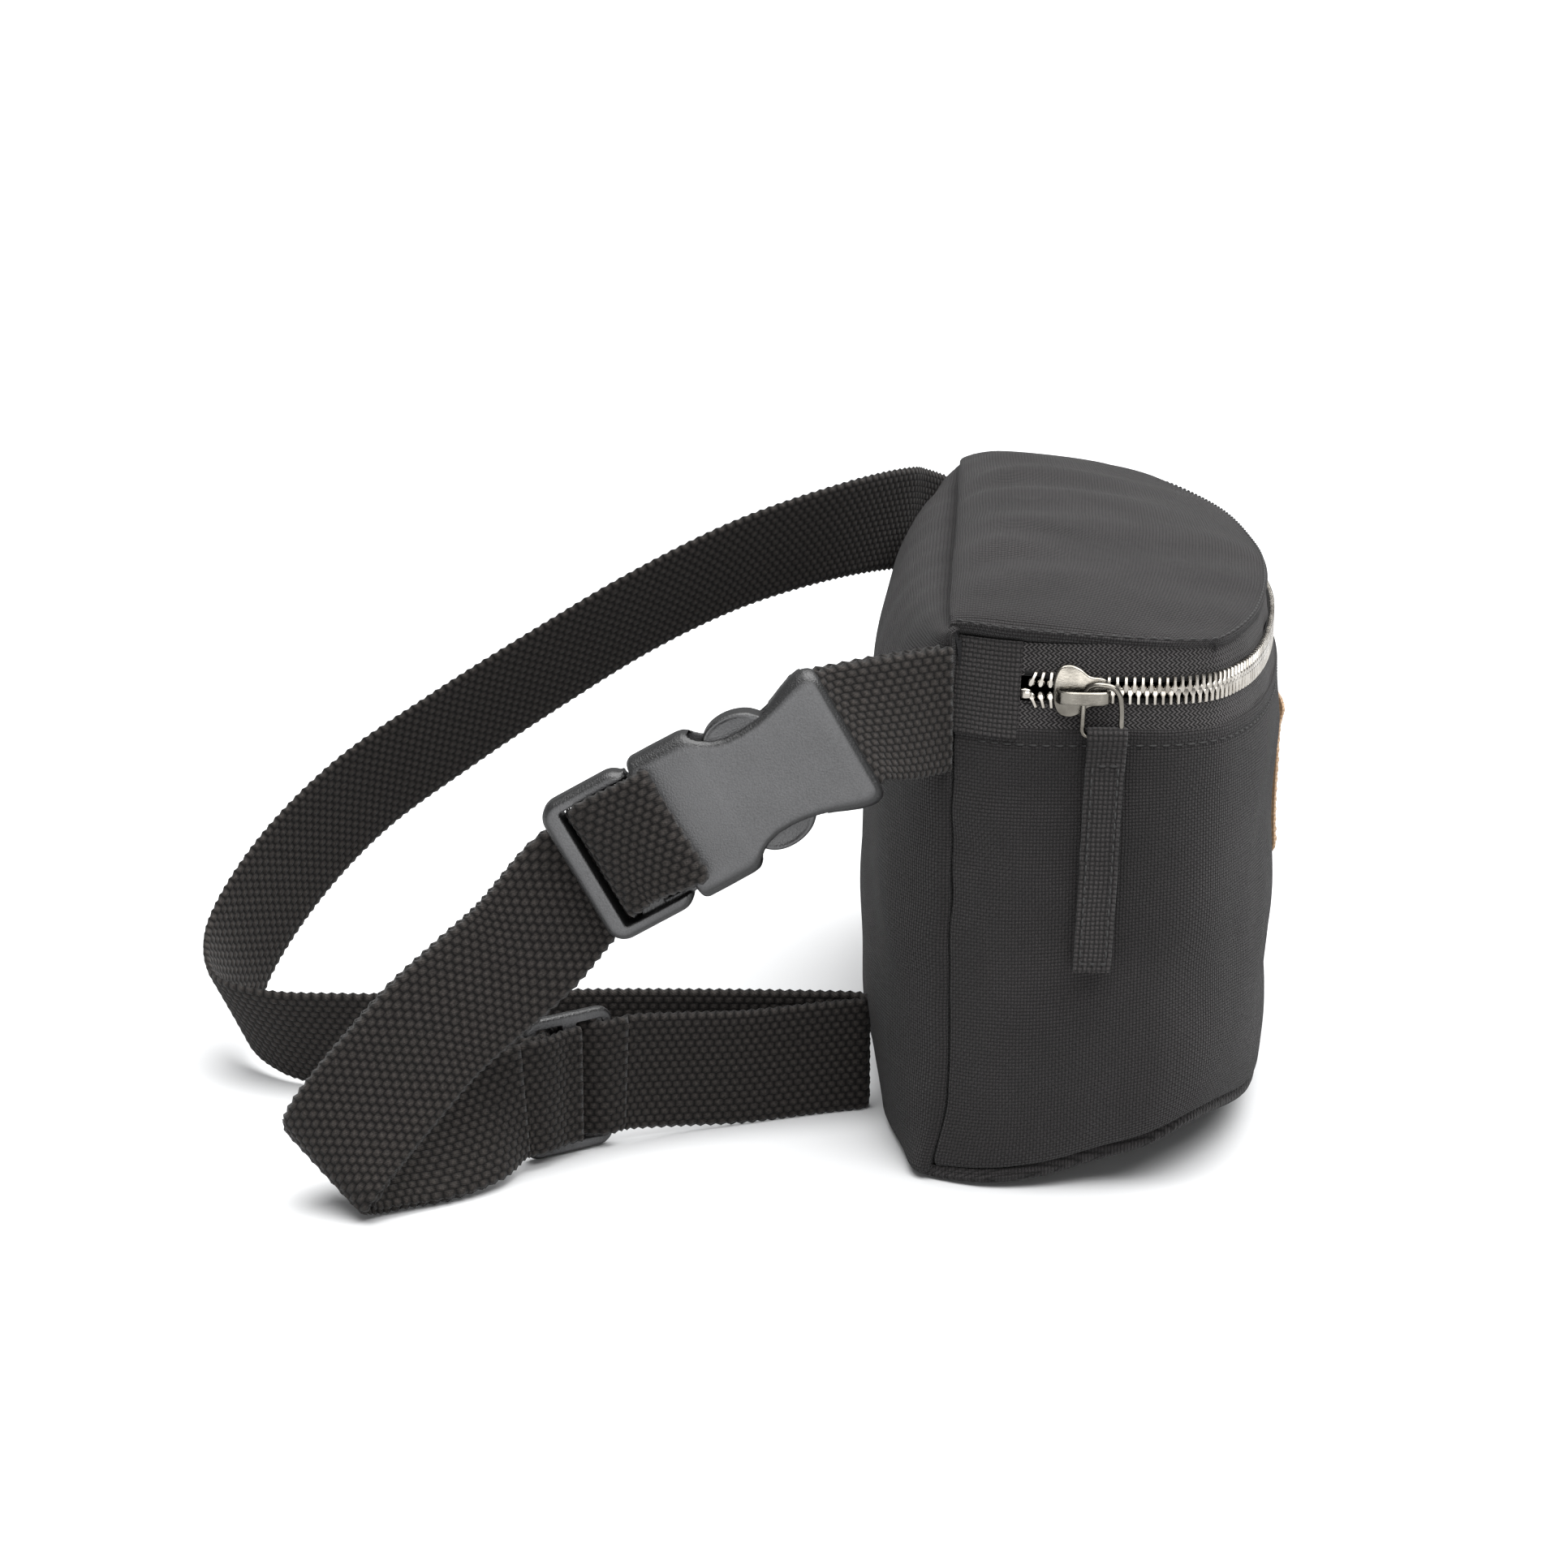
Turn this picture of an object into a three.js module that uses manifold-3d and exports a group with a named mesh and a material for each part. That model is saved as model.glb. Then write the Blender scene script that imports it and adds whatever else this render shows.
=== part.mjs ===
// A canvas waist pack with a metal zip, a webbing waist strap, a side-release buckle and a strap adjuster.
// Millimetres. +X runs along the pack, -Y is its front, +Y its wearer's side, +Z up, Z = 0 is the table.
// Origin: on the table, under the middle of the pack.

import * as THREE from "three";
import { mergeVertices } from "three/addons/utils/BufferGeometryUtils.js";
import Module from "manifold-3d";

const wasm = await Module();
wasm.setup();

// ---- driving dimensions -------------------------------------------------------------------------

const GAP = 0.3; // between meshes that touch in the real pack
const CLOTH = 1.6; // thickness of a canvas panel
const WEBBING = { width: 30, thickness: 2, layerPitch: 2.5 };
const BACK_Y = 40; // back seam
const FLOOR_PLATE_TOP = 4;
const ZIP = { low: 116, high: 134.2, mid: 125.2, lowInset: 0.8, highInset: 4, endTab: 17 };
const CHAIN = { halfWidth: 3, channel: 0.8, thickness: 2.6, pitch: 5, toothWidth: 2, beadWidth: 1 };
const CROWN = { seam: 134.5, backSeam: 137, rise: 8 };
const SLIDER = { length: 12, height: 12.5, plate: 1.3, gap: 2.1, fromSeam: 29.5 };
const BUCKLE = { length: 72.5, halfWidth: 18.7, halfThickness: 5.2, maleLength: 24 };
const ADJUSTER = { length: 26, height: 36.6, thickness: 2.2, bar: 3.5, centreBar: 4, middleZ: 18.6 };

// Plan of the pack's ends and front, from the near back seam round the front to the far back seam.
const PLAN = [
  [-115, 38.3], [-120.8, 26], [-122.6, 14], [-121.9, 0], [-121.2, -14], [-116, -24], [-104, -31.5],
  [-85, -37.5], [-48, -43], [-10, -44.5], [40, -39.5], [84, -28], [106, -16], [116, -1], [119, 14],
  [118.3, 27], [115, 38.3],
];

const material = (color, roughness, metalness = 0) =>
  new THREE.MeshStandardMaterial({ color, roughness, metalness });
const CANVAS = material(0x2b2a2b, 0.9);
const WEB = material(0x161415, 0.9);
const PLASTIC = material(0x2c2d31, 0.42);
const METAL = material(0xc9c6c0, 0.25, 1);
const TAPE = material(0x1b1a1b, 0.9);
const LINING = material(0x232224, 0.8);
const CORK = material(0xa98a66, 0.95);

const pack = new THREE.Group();

function addPart(name, geometry, surface) {
  const mesh = new THREE.Mesh(geometry, surface);
  mesh.name = name;
  pack.add(mesh);
}

// ---- solids: helpers ----------------------------------------------------------------------------

const vector = (x, y, z) => new THREE.Vector3(x, y, z);

function positionsOnly(geometry) {
  const bare = geometry.clone();
  bare.deleteAttribute("normal");
  bare.deleteAttribute("uv");
  return mergeVertices(bare, 1e-4);
}

function signedVolume(geometry) {
  const p = geometry.attributes.position;
  const index = geometry.index;
  const corner = [vector(), vector(), vector()];
  let total = 0;
  for (let i = 0; i < index.count; i += 3) {
    corner.forEach((v, k) => v.fromBufferAttribute(p, index.getX(i + k)));
    total += corner[0].dot(corner[1].cross(corner[2]));
  }
  return total;
}

function facingOut(geometry) {
  if (signedVolume(geometry) < 0) {
    const order = geometry.index.array;
    for (let i = 0; i < order.length; i += 3) {
      [order[i], order[i + 1]] = [order[i + 1], order[i]];
    }
  }
  geometry.computeVertexNormals();
  return geometry;
}

// Every vertex of a geometry goes through place(vertex).
function shaped(geometry, place) {
  const solid = positionsOnly(geometry);
  const p = solid.attributes.position;
  const v = vector();
  for (let i = 0; i < p.count; i += 1) {
    v.fromBufferAttribute(p, i);
    const to = place(v);
    p.setXYZ(i, to.x, to.y, to.z);
  }
  return facingOut(solid);
}

// A closed sheet: outer(u, v) is its outer face, and the thickness is laid inwards, along -normal.
function sheet(outer, thickness, across, up) {
  const step = 1e-3;
  return shaped(new THREE.BoxGeometry(1, 1, 1, across, up, 1), (corner) => {
    const u = corner.x + 0.5;
    const v = corner.y + 0.5;
    const at = outer(u, v);
    const du = outer(Math.min(u + step, 1), v).sub(outer(Math.max(u - step, 0), v));
    const dv = outer(u, Math.min(v + step, 1)).sub(outer(u, Math.max(v - step, 0)));
    const normal = du.cross(dv).normalize();
    return at.addScaledVector(normal, (corner.z - 0.5) * thickness);
  });
}

const outline = (points) => new THREE.Shape(points.map(([x, y]) => new THREE.Vector2(x, y)));

function plate(shape, low, high, bevel = 0) {
  const solid = new THREE.ExtrudeGeometry(shape, {
    depth: high - low - 2 * bevel,
    bevelEnabled: bevel > 0,
    bevelThickness: bevel,
    bevelSize: bevel,
    bevelOffset: -bevel,
    bevelSegments: 2,
    curveSegments: 4,
  });
  return positionsOnly(solid).translate(0, 0, low + bevel);
}

function box(x0, x1, y0, y1, z0, z1) {
  return new THREE.BoxGeometry(x1 - x0, y1 - y0, z1 - z0).translate(
    (x0 + x1) / 2, (y0 + y1) / 2, (z0 + z1) / 2);
}

function toSolid(geometry) {
  const bare = positionsOnly(geometry);
  return new wasm.Manifold(new wasm.Mesh({
    numProp: 3,
    vertProperties: Float32Array.from(bare.attributes.position.array),
    triVerts: Uint32Array.from(bare.index.array),
  }));
}

function fromSolid(solid) {
  const mesh = solid.getMesh();
  const geometry = new THREE.BufferGeometry();
  geometry.setAttribute("position", new THREE.BufferAttribute(mesh.vertProperties, 3));
  geometry.setIndex(new THREE.BufferAttribute(mesh.triVerts, 1));
  geometry.computeVertexNormals();
  return geometry;
}

function combine(base, { add = [], cut = [] }) {
  const joined = add.reduce((whole, extra) => whole.add(toSolid(extra)), toSolid(base));
  return fromSolid(cut.reduce((whole, hole) => whole.subtract(toSolid(hole)), joined));
}

function roundedRectangle(x0, x1, y0, y1, r) {
  const shape = new THREE.Shape();
  shape.moveTo(x0 + r, y0);
  shape.lineTo(x1 - r, y0);
  shape.absarc(x1 - r, y0 + r, r, -Math.PI / 2, 0);
  shape.lineTo(x1, y1 - r);
  shape.absarc(x1 - r, y1 - r, r, 0, Math.PI / 2);
  shape.lineTo(x0 + r, y1);
  shape.absarc(x0 + r, y1 - r, r, Math.PI / 2, Math.PI);
  shape.lineTo(x0, y0 + r);
  shape.absarc(x0 + r, y0 + r, r, Math.PI, Math.PI * 1.5);
  return shape;
}

// ---- the pack's own surfaces --------------------------------------------------------------------

const plan = new THREE.CatmullRomCurve3(PLAN.map(([x, y]) => vector(x, y, 0)), false, "centripetal");
const PLAN_LENGTH = plan.getLength();

// Point on the plan at arc fraction u, moved in by inset, at height z.
function onPlan(u, inset, z) {
  const tangent = plan.getTangentAt(u);
  const at = plan.getPointAt(u);
  return vector(at.x - tangent.y * inset, at.y + tangent.x * inset, z);
}

const wallInset = (z) => 7 * Math.exp(-z / 4);
const zipInset = (z) => THREE.MathUtils.mapLinear(z, ZIP.low, ZIP.high, ZIP.lowInset, ZIP.highInset);

// How far the back panel bellies out towards the wearer: fullest at fullZ, and held by its seams.
const BELLY = { depth: 19, halfWidth: 115, fullZ: 50, above: 87, below: 145 };
function backBelly(x, z) {
  const aside = Math.min(1, Math.abs(x) / BELLY.halfWidth);
  const from = z - BELLY.fullZ;
  const upright = Math.min(1, Math.abs(from) / (from > 0 ? BELLY.above : BELLY.below));
  return BELLY.depth * (1 - aside ** 3.5) ** 0.7 * (1 - upright ** 2) ** 0.6;
}

function planPoints(inset, count) {
  const points = [];
  for (let i = 0; i <= count; i += 1) {
    const at = onPlan(i / count, inset, 0);
    points.push([at.x, at.y]);
  }
  return points;
}

function frontPanel() {
  const low = FLOOR_PLATE_TOP + GAP;
  const high = ZIP.low - GAP;
  return sheet((u, v) => {
    const z = THREE.MathUtils.lerp(low, high, v ** 1.4);
    return onPlan(u, wallInset(z), z);
  }, CLOTH, 44, 6);
}

function backPanel() {
  const low = FLOOR_PLATE_TOP + GAP;
  const high = CROWN.backSeam - 2 * GAP - 0.2;
  return sheet((u, v) => {
    const x = THREE.MathUtils.lerp(115, -115, u);
    const z = THREE.MathUtils.lerp(low, high, v);
    return vector(x, BACK_Y + GAP + backBelly(x, z), z);
  }, CLOTH, 22, 9);
}

function bottomPanel() {
  const points = planPoints(4.5, 32);
  const steps = 10;
  for (let i = 1; i < steps; i += 1) {
    const x = THREE.MathUtils.lerp(111, -111, i / steps);
    points.push([x, BACK_Y - 1 + backBelly(x, 0)]);
  }
  return plate(outline(points), 0, FLOOR_PLATE_TOP, 1.6);
}

// The lid is a patch between four edges: the back seam, the two ends and the front.
const LID_CORNER = 0.19; // arc fraction of the plan where an end turns into the front
function lidPoint(u, v, inset) {
  const back = vector(THREE.MathUtils.lerp(-115 + inset, 115 - inset, u), BACK_Y - GAP, 0);
  const front = onPlan(THREE.MathUtils.lerp(LID_CORNER, 1 - LID_CORNER, u), inset, 0);
  const near = onPlan(LID_CORNER * v, inset, 0);
  const far = onPlan(1 - LID_CORNER * v, inset, 0);
  const corners = [onPlan(0, inset, 0), onPlan(1, inset, 0), onPlan(LID_CORNER, inset, 0),
    onPlan(1 - LID_CORNER, inset, 0)];
  const at = back.multiplyScalar(1 - v).addScaledVector(front, v);
  at.addScaledVector(near, 1 - u).addScaledVector(far, u);
  at.addScaledVector(corners[0], -(1 - u) * (1 - v)).addScaledVector(corners[1], -u * (1 - v));
  at.addScaledVector(corners[2], -(1 - u) * v).addScaledVector(corners[3], -u * v);
  const ends = Math.sin(Math.PI * u) ** 0.45;
  const dome = CROWN.rise * ends * Math.sin(Math.PI * v ** 0.75) ** 0.6;
  at.z = THREE.MathUtils.lerp(CROWN.backSeam, CROWN.seam, Math.min(1, v * 1.6)) + CLOTH + dome;
  return at;
}

const topPanel = () => sheet((u, v) => lidPoint(u, 1 - v, ZIP.highInset - 1.2), CLOTH, 26, 10);

const POUCH = { inset: 7, wall: 1, backHalf: 108 };
function lining() {
  const pouch = (inset, low, high) => {
    const points = planPoints(inset, 40);
    points.push([POUCH.backHalf - inset, BACK_Y - inset / 2]);
    points.push([inset - POUCH.backHalf, BACK_Y - inset / 2]);
    return plate(outline(points), low, high);
  };
  const floor = FLOOR_PLATE_TOP + POUCH.wall;
  const inside = pouch(POUCH.inset + POUCH.wall, floor + POUCH.wall, ZIP.low);
  return combine(pouch(POUCH.inset, floor, ZIP.low - 4), { cut: [inside] });
}

const LABEL = { width: 26, low: 58, height: 42, thickness: 1.4 };
function label() {
  return sheet((u, v) => onPlan(0.5 + (u - 0.5) * LABEL.width / PLAN_LENGTH, -GAP - LABEL.thickness,
    LABEL.low + LABEL.height * v), LABEL.thickness, 8, 4);
}

// ---- zip ----------------------------------------------------------------------------------------

const TAB_END = ZIP.endTab / PLAN_LENGTH;
const TAPE_START = (ZIP.endTab + GAP) / PLAN_LENGTH;

function bandStrip(from, to, low, high, thickness, across) {
  return sheet((u, v) => {
    const z = THREE.MathUtils.lerp(low, high, v);
    return onPlan(THREE.MathUtils.lerp(from, to, u), zipInset(z), z);
  }, thickness, across, 1);
}

// One half of the chain: a bead with teeth, as a box whose free edge steps out and back for each tooth.
function chainHalf(side) {
  const start = ZIP.endTab + 2 * GAP;
  const count = Math.floor((PLAN_LENGTH - 2 * start) / CHAIN.pitch);
  const bead = CHAIN.halfWidth - CHAIN.beadWidth;
  const shift = side > 0 ? 0.05 * CHAIN.pitch : 0.45 * CHAIN.pitch;
  const root = 0.5 * (CHAIN.pitch - CHAIN.toothWidth);
  const columns = [0, CHAIN.toothWidth - 0.1, CHAIN.toothWidth, CHAIN.toothWidth + 2 * root - 0.1];
  return shaped(new THREE.BoxGeometry(1, 1, 1, 4 * count - 1, 1, 1), (v) => {
    const column = Math.round((v.x + 0.5) * (4 * count - 1));
    const along = start + shift + Math.floor(column / 4) * CHAIN.pitch + columns[column % 4];
    const free = column % 4 < 2 ? CHAIN.channel : bead;
    const reach = v.y > 0 ? CHAIN.halfWidth : free;
    const inset = zipInset(ZIP.mid) + 0.3 - v.z * CHAIN.thickness;
    return onPlan(along / PLAN_LENGTH, inset, ZIP.mid + side * reach);
  });
}

// The slider runs on the straight stretch of the near end.
const SLIDE = onPlan(46 / PLAN_LENGTH, 0, 0).sub(onPlan(24 / PLAN_LENGTH, 0, 0)).normalize();
const sliderPlace = (() => {
  const at = onPlan(SLIDER.fromSeam / PLAN_LENGTH, zipInset(ZIP.mid) + GAP, ZIP.mid);
  const out = vector(SLIDE.y, -SLIDE.x, 0);
  return new THREE.Matrix4().makeBasis(SLIDE, vector(0, 0, 1), out).setPosition(at);
})();

// Slider outline in its own plane: x along the chain towards the closed zip, y up.
function sliderOutline(scale) {
  const half = SLIDER.length / 2;
  const shoulder = (SLIDER.height / 2) * scale;
  const tail = 4 * scale;
  return outline([
    [-half, -shoulder + 1.5], [-half + 1.5, -shoulder], [-1, -shoulder], [1.5, -tail],
    [half - 1, -tail], [half, -tail + 1], [half, tail - 1], [half - 1, tail], [1.5, tail],
    [-1, shoulder], [-half + 1.5, shoulder], [-half, shoulder - 1.5],
  ]);
}

function sliderBody() {
  const inner = SLIDER.gap;
  const front = plate(sliderOutline(1), inner, inner + SLIDER.plate, 0.35);
  const rear = plate(sliderOutline(0.9), -inner - SLIDER.plate, -inner);
  const post = box(-SLIDER.length / 2 + 0.6, -0.5, -0.5, 0.5, -inner - 0.5, inner + 0.5);
  return combine(front, { add: [rear, post] }).applyMatrix4(sliderPlace);
}

const EYE = { x: 4.4, y: 0.8, z: SLIDER.gap + SLIDER.plate + 2.1, outer: 2.1, hole: 1.25, width: 4 };
const THROUGH = 60; // longer than any piece that a cutting tool passes through

// A cylinder along x: the bar of an eye or a loop, or the tool that cuts its hole.
const crossBar = (radius, width) =>
  new THREE.CylinderGeometry(radius, radius, width, 20).rotateZ(Math.PI / 2);

function sliderEye() {
  const base = SLIDER.gap + SLIDER.plate + GAP;
  const footLength = 9;
  const footHalf = 1.9;
  const eye = crossBar(EYE.outer, EYE.width).translate(EYE.x, EYE.y, EYE.z);
  const foot = box(EYE.x - footLength, EYE.x + EYE.width / 2, EYE.y - footHalf, EYE.y + footHalf,
    base, base + 0.8);
  const hole = crossBar(EYE.hole, THROUGH).translate(EYE.x, EYE.y, EYE.z);
  const below = box(-THROUGH, THROUGH, -THROUGH, THROUGH, base - THROUGH, base);
  return combine(eye, { add: [foot], cut: [hole, below] }).applyMatrix4(sliderPlace);
}

const RING = { width: 10.6, drop: 10.5, wire: 0.7 };
const EYE_AT = vector(EYE.x, EYE.y, EYE.z).applyMatrix4(sliderPlace);

function ringPlace() {
  const out = vector(SLIDE.y, -SLIDE.x, 0);
  return new THREE.Matrix4().makeBasis(SLIDE, vector(0, 0, 1), out).setPosition(EYE_AT);
}

function pullRing() {
  const half = RING.width / 2;
  const wireLoop = new THREE.TorusGeometry(1, 0.1, 6, 32);
  const squareness = 0.3;
  const bend = (v) => {
    const angle = Math.atan2(v.y, v.x);
    const radial = Math.hypot(v.x, v.y) - 1;
    const c = Math.cos(angle);
    const s = Math.sin(angle);
    const centre = vector(half * Math.sign(c) * Math.abs(c) ** squareness,
      (RING.drop / 2) * Math.sign(s) * Math.abs(s) ** squareness - RING.drop / 2, 0);
    const out = vector(c, s, 0).normalize();
    return centre.addScaledVector(out, radial * 10 * RING.wire).add(vector(0, 0, v.z * 10 * RING.wire));
  };
  return shaped(wireLoop, bend).applyMatrix4(ringPlace());
}

const PULL = { width: 8.6, length: 57, thickness: 2.4, loop: 2.1, hole: 1.25 };

function pullTab() {
  const half = PULL.thickness / 2;
  const strip = box(-PULL.width / 2, PULL.width / 2, -PULL.length, -1.2, -half, half);
  const tab = combine(strip, {
    add: [crossBar(PULL.loop, PULL.width)],
    cut: [crossBar(PULL.hole, THROUGH)],
  });
  return tab.translate(0, -RING.drop, 0).applyMatrix4(ringPlace());
}

// ---- side-release buckle ------------------------------------------------------------------------
// Own frame: x from the male's outer end to the female's end, y across, z out of the face.

const BUCKLE_FRAME = (() => {
  const along = vector(0, -63, 36).normalize();
  const out = vector(-1, 0, 0);
  const across = out.clone().cross(along);
  return new THREE.Matrix4().makeBasis(along, across, out).setPosition(vector(-140, 124, 83));
})();

const mirrored = (half) => outline([...half, ...half.slice().reverse().map(([x, y]) => [x, -y])]);

const WINDOW = { from: 39.5, to: 57, depth: 11 };
const MOUTH = { half: 15.2, windowHalf: 17.5, thickness: 3.3 };

function buckleFemale() {
  const h = BUCKLE.halfWidth;
  const body = plate(mirrored([
    [BUCKLE.maleLength, h - 1.2], [BUCKLE.maleLength + 1.2, h], [WINDOW.from + 3, h], [WINDOW.to - 2, 15.5],
    [59, 14.8], [62, 15.6], [66, h - 0.6], [68.5, h - 0.6], [BUCKLE.length - 1, h - 2.4],
    [BUCKLE.length, h - 4.5],
  ]), -BUCKLE.halfThickness, BUCKLE.halfThickness, 1.6);
  const cavity = plate(mirrored([
    [BUCKLE.maleLength - 1, MOUTH.half], [WINDOW.from + 0.2, MOUTH.windowHalf],
    [WINDOW.to, WINDOW.depth + 1], [61, WINDOW.depth],
  ]), -MOUTH.thickness, MOUTH.thickness);
  const notch = (side) => box(WINDOW.from, WINDOW.to, side > 0 ? WINDOW.depth : -THROUGH,
    side > 0 ? THROUGH : -WINDOW.depth, -THROUGH, THROUGH);
  const tabHalf = WEBBING.width / 2 + 1.4;
  const tabRoof = 1.7;
  const tabSpace = box(62.6, THROUGH + BUCKLE.length, -tabHalf, tabHalf, -THROUGH, tabRoof);
  const tabExit = box(68.7, THROUGH + BUCKLE.length, -THROUGH, THROUGH, -THROUGH, tabRoof);
  const bar = box(66.1, 67.3, -tabHalf - 1, tabHalf + 1, -2.9, -1.2);
  const hollow = combine(body, { cut: [cavity, notch(1), notch(-1), tabSpace, tabExit] });
  return combine(hollow, { add: [bar] }).applyMatrix4(BUCKLE_FRAME);
}

const MALE = { thickness: 2.4, slot: 15.5, endBar: 3.2, barFrom: 9, barTo: 16, slotEnd: 22, barHalf: 1.2 };

function buckleMale() {
  const h = BUCKLE.halfWidth;
  const frame = plate(roundedRectangle(0, BUCKLE.maleLength - 1.4, -h, h, 3),
    -MALE.thickness, MALE.thickness, 1);
  const slot = (from, to) => box(from, to, -MALE.slot, MALE.slot, -THROUGH, THROUGH);
  const thinning = (low, high) => box(MALE.barFrom - 1, MALE.barTo + 1, -MALE.slot, MALE.slot, low, high);
  const neck = box(BUCKLE.maleLength - 3, BUCKLE.maleLength - 0.6, -8, 8, -2.2, 2.2);
  const tongue = box(BUCKLE.maleLength - 3, 46, -1.3, 1.3, -1.6, 1.6);
  return combine(frame, {
    add: [neck, tongue],
    cut: [slot(MALE.endBar, MALE.barFrom), slot(MALE.barTo, MALE.slotEnd - 0.6),
      thinning(MALE.barHalf, THROUGH), thinning(-THROUGH, -MALE.barHalf)],
  }).applyMatrix4(BUCKLE_FRAME);
}

function prong(side) {
  const arm = outline([
    [25, 10.9], [40, 10.3], [53, 9.2], [55.4, 10.4], [55.6, 12.6], [53.4, 14.6], [49, 16.3], [45, 16.7],
    [41, 16.6], [40.4, 16], [40.4, 14.2], [25, 13.9], [24.3, 12.4],
  ]);
  return shaped(plate(arm, -2.6, 2.6, 0), (v) => vector(v.x, v.y * side, v.z)).applyMatrix4(BUCKLE_FRAME);
}

// ---- webbing ------------------------------------------------------------------------------------

// A flat band through stations [x, y, z, wx, wy, wz]: centre, then the direction of its width.
function ribbon(stations, perSpan, width, thickness) {
  const curve = (from) => new THREE.CatmullRomCurve3(
    stations.map((s) => vector(s[from], s[from + 1], s[from + 2])), false, "centripetal");
  const centre = curve(0);
  const lean = curve(3);
  const steps = (stations.length - 1) * perSpan;
  return shaped(new THREE.BoxGeometry(1, 1, 1, steps, 1, 1), (v) => {
    const t = v.x + 0.5;
    const tangent = centre.getTangent(t);
    const across = lean.getPoint(t);
    across.addScaledVector(tangent, -across.dot(tangent)).normalize();
    const normal = across.clone().cross(tangent);
    return centre.getPoint(t).addScaledVector(across, v.y * width).addScaledVector(normal, v.z * thickness);
  });
}

// The strap as it lies: out of the far back seam, round the big arc, along the table and back.
const BIG_ARC = [
  [116, 41.6, 117, 0, 0, 1], [99, 50.6, 123, 0.02, -0.08, 1], [83, 56, 126.5, -0.02, -0.13, 0.99],
  [60, 73, 127, -0.25, -0.08, 0.97], [41, 100, 121, -0.43, 0.05, 0.9], [28, 126, 110, -0.53, 0.17, 0.83],
  [18, 151, 96, -0.55, 0.26, 0.79], [9, 177, 80, -0.53, 0.31, 0.79], [-2, 202, 63, -0.51, 0.36, 0.78],
  [-17, 220.5, 44, -0.5, 0.4, 0.77], [-34, 230, 27, -0.5, 0.38, 0.78], [-49, 228, 18, -0.5, 0.23, 0.84],
  [-60, 215, 15.4, -0.38, 0.12, 0.91], [-66, 193, 15.3, -0.25, 0.06, 0.97], [-67, 171, 15.2, -0.12, 0, 0.99],
  [-65, 150, 15.2, -0.05, 0, 1], [-63, 122, 15.2, 0, 0, 1], [-61.6, 92, 15.2, 0, 0, 1],
  [-61.4, 72, 15.2, 0, 0, 1], [-61.6, 63.5, 15.2, 0, 0, 1],
];
const U_TURN = [
  [-62.4, 60.6, 15.2, 0, 0, 1], [-64.4, 59.5, 15.2, 0, 0, 1], [-66.5, 60.6, 15.2, 0, 0, 1],
  [-67.6, 63.6, 15.2, 0, 0, 1],
];
const NEAR_RUN = [
  [-70.6, 71.5, 15.2, 0, 0, 1], [-79, 90.5, 15.5, 0, 0, 1], [-86, 106, 17, 0, 0, 1],
];
const FOLD = [
  [-122.5, 152.5, 15.4, 0.25, 0.28, 0.92], [-128.5, 162, 12.9, 0.42, 0.4, 0.81],
  [-133, 171.4, 11.8, 0.53, 0.46, 0.71], [-137, 178.6, 10.8, 0.56, 0.56, 0.61],
  [-141, 182.6, 10.7, 0.53, 0.65, 0.54], [-144.6, 184, 11.8, 0.49, 0.7, 0.51],
  [-147, 183, 14.6, 0.38, 0.78, 0.49], [-147.6, 180, 20, 0.24, 0.82, 0.51],
  [-146.6, 175, 28, 0.08, 0.82, 0.56], [-145, 168, 37.4, -0.03, 0.79, 0.61],
  [-143, 160, 47.6, -0.08, 0.75, 0.66], [-140.6, 150, 57.8, -0.06, 0.7, 0.71],
  [-138, 139.5, 67.6, -0.03, 0.62, 0.78],
];

// Route points given in a fitting's own plane: [along, out], laid on that fitting's frame.
function throughFitting(frame, widthAxis, points) {
  return points.map(([along, out]) => {
    const at = vector(along, 0, out).applyMatrix4(frame);
    return [at.x, at.y, at.z, widthAxis.x, widthAxis.y, widthAxis.z];
  });
}

const BUCKLE_ACROSS = vector().setFromMatrixColumn(BUCKLE_FRAME, 1);
const OVER_THE_BAR = [
  [-3, -4.6], [2.2, -4.2], [4.8, -3.2], [6.3, -1], [6.7, 1], [8.8, 2.8], [12.5, 3], [16.2, 2.8],
  [18.8, 1.2], [18.9, -1.2], [16.4, -3], [12, -4.2], [5, -6.2], [-3, -7.4],
];

const ADJUSTER_FRAME = (() => {
  const along = vector(-0.62, 0.785, 0).normalize();
  const out = vector(-0.785, -0.62, 0).normalize();
  return new THREE.Matrix4().makeBasis(along, vector(0, 0, -1), out).setPosition(
    vector(-101.5, 132.5, ADJUSTER.middleZ));
})();
const THROUGH_ADJUSTER = [
  [-16, 2.3], [-11, 2.7], [-8.6, 2.3], [-5.6, 0], [-2.6, -2.4], [0, -2.8], [2.6, -2.4], [5.6, 0],
  [8.6, 2.3], [11, 2.7], [16, 2.3],
];
const LOOSE_END = [[15.5, 5], [10.8, 5.3], [7, 4.6], [2.8, 3], [0, 2.7], [-2.4, 2.7]];

const adjusterRoute = (points) => throughFitting(ADJUSTER_FRAME, vector(0, 0, 1), points);

// The second layer lies one layer pitch inside the first.
function innerLayer(stations) {
  const centres = stations.map((s) => vector(s[0], s[1], s[2]));
  return stations.map((s, i) => {
    const tangent = centres[Math.min(i + 1, centres.length - 1)].clone().sub(centres[Math.max(i - 1, 0)]);
    const across = vector(s[3], s[4], s[5]);
    const normal = across.clone().cross(tangent).normalize();
    const at = centres[i].clone().addScaledVector(normal, WEBBING.layerPitch);
    return [at.x, at.y, at.z, s[3], s[4], s[5]];
  });
}

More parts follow.
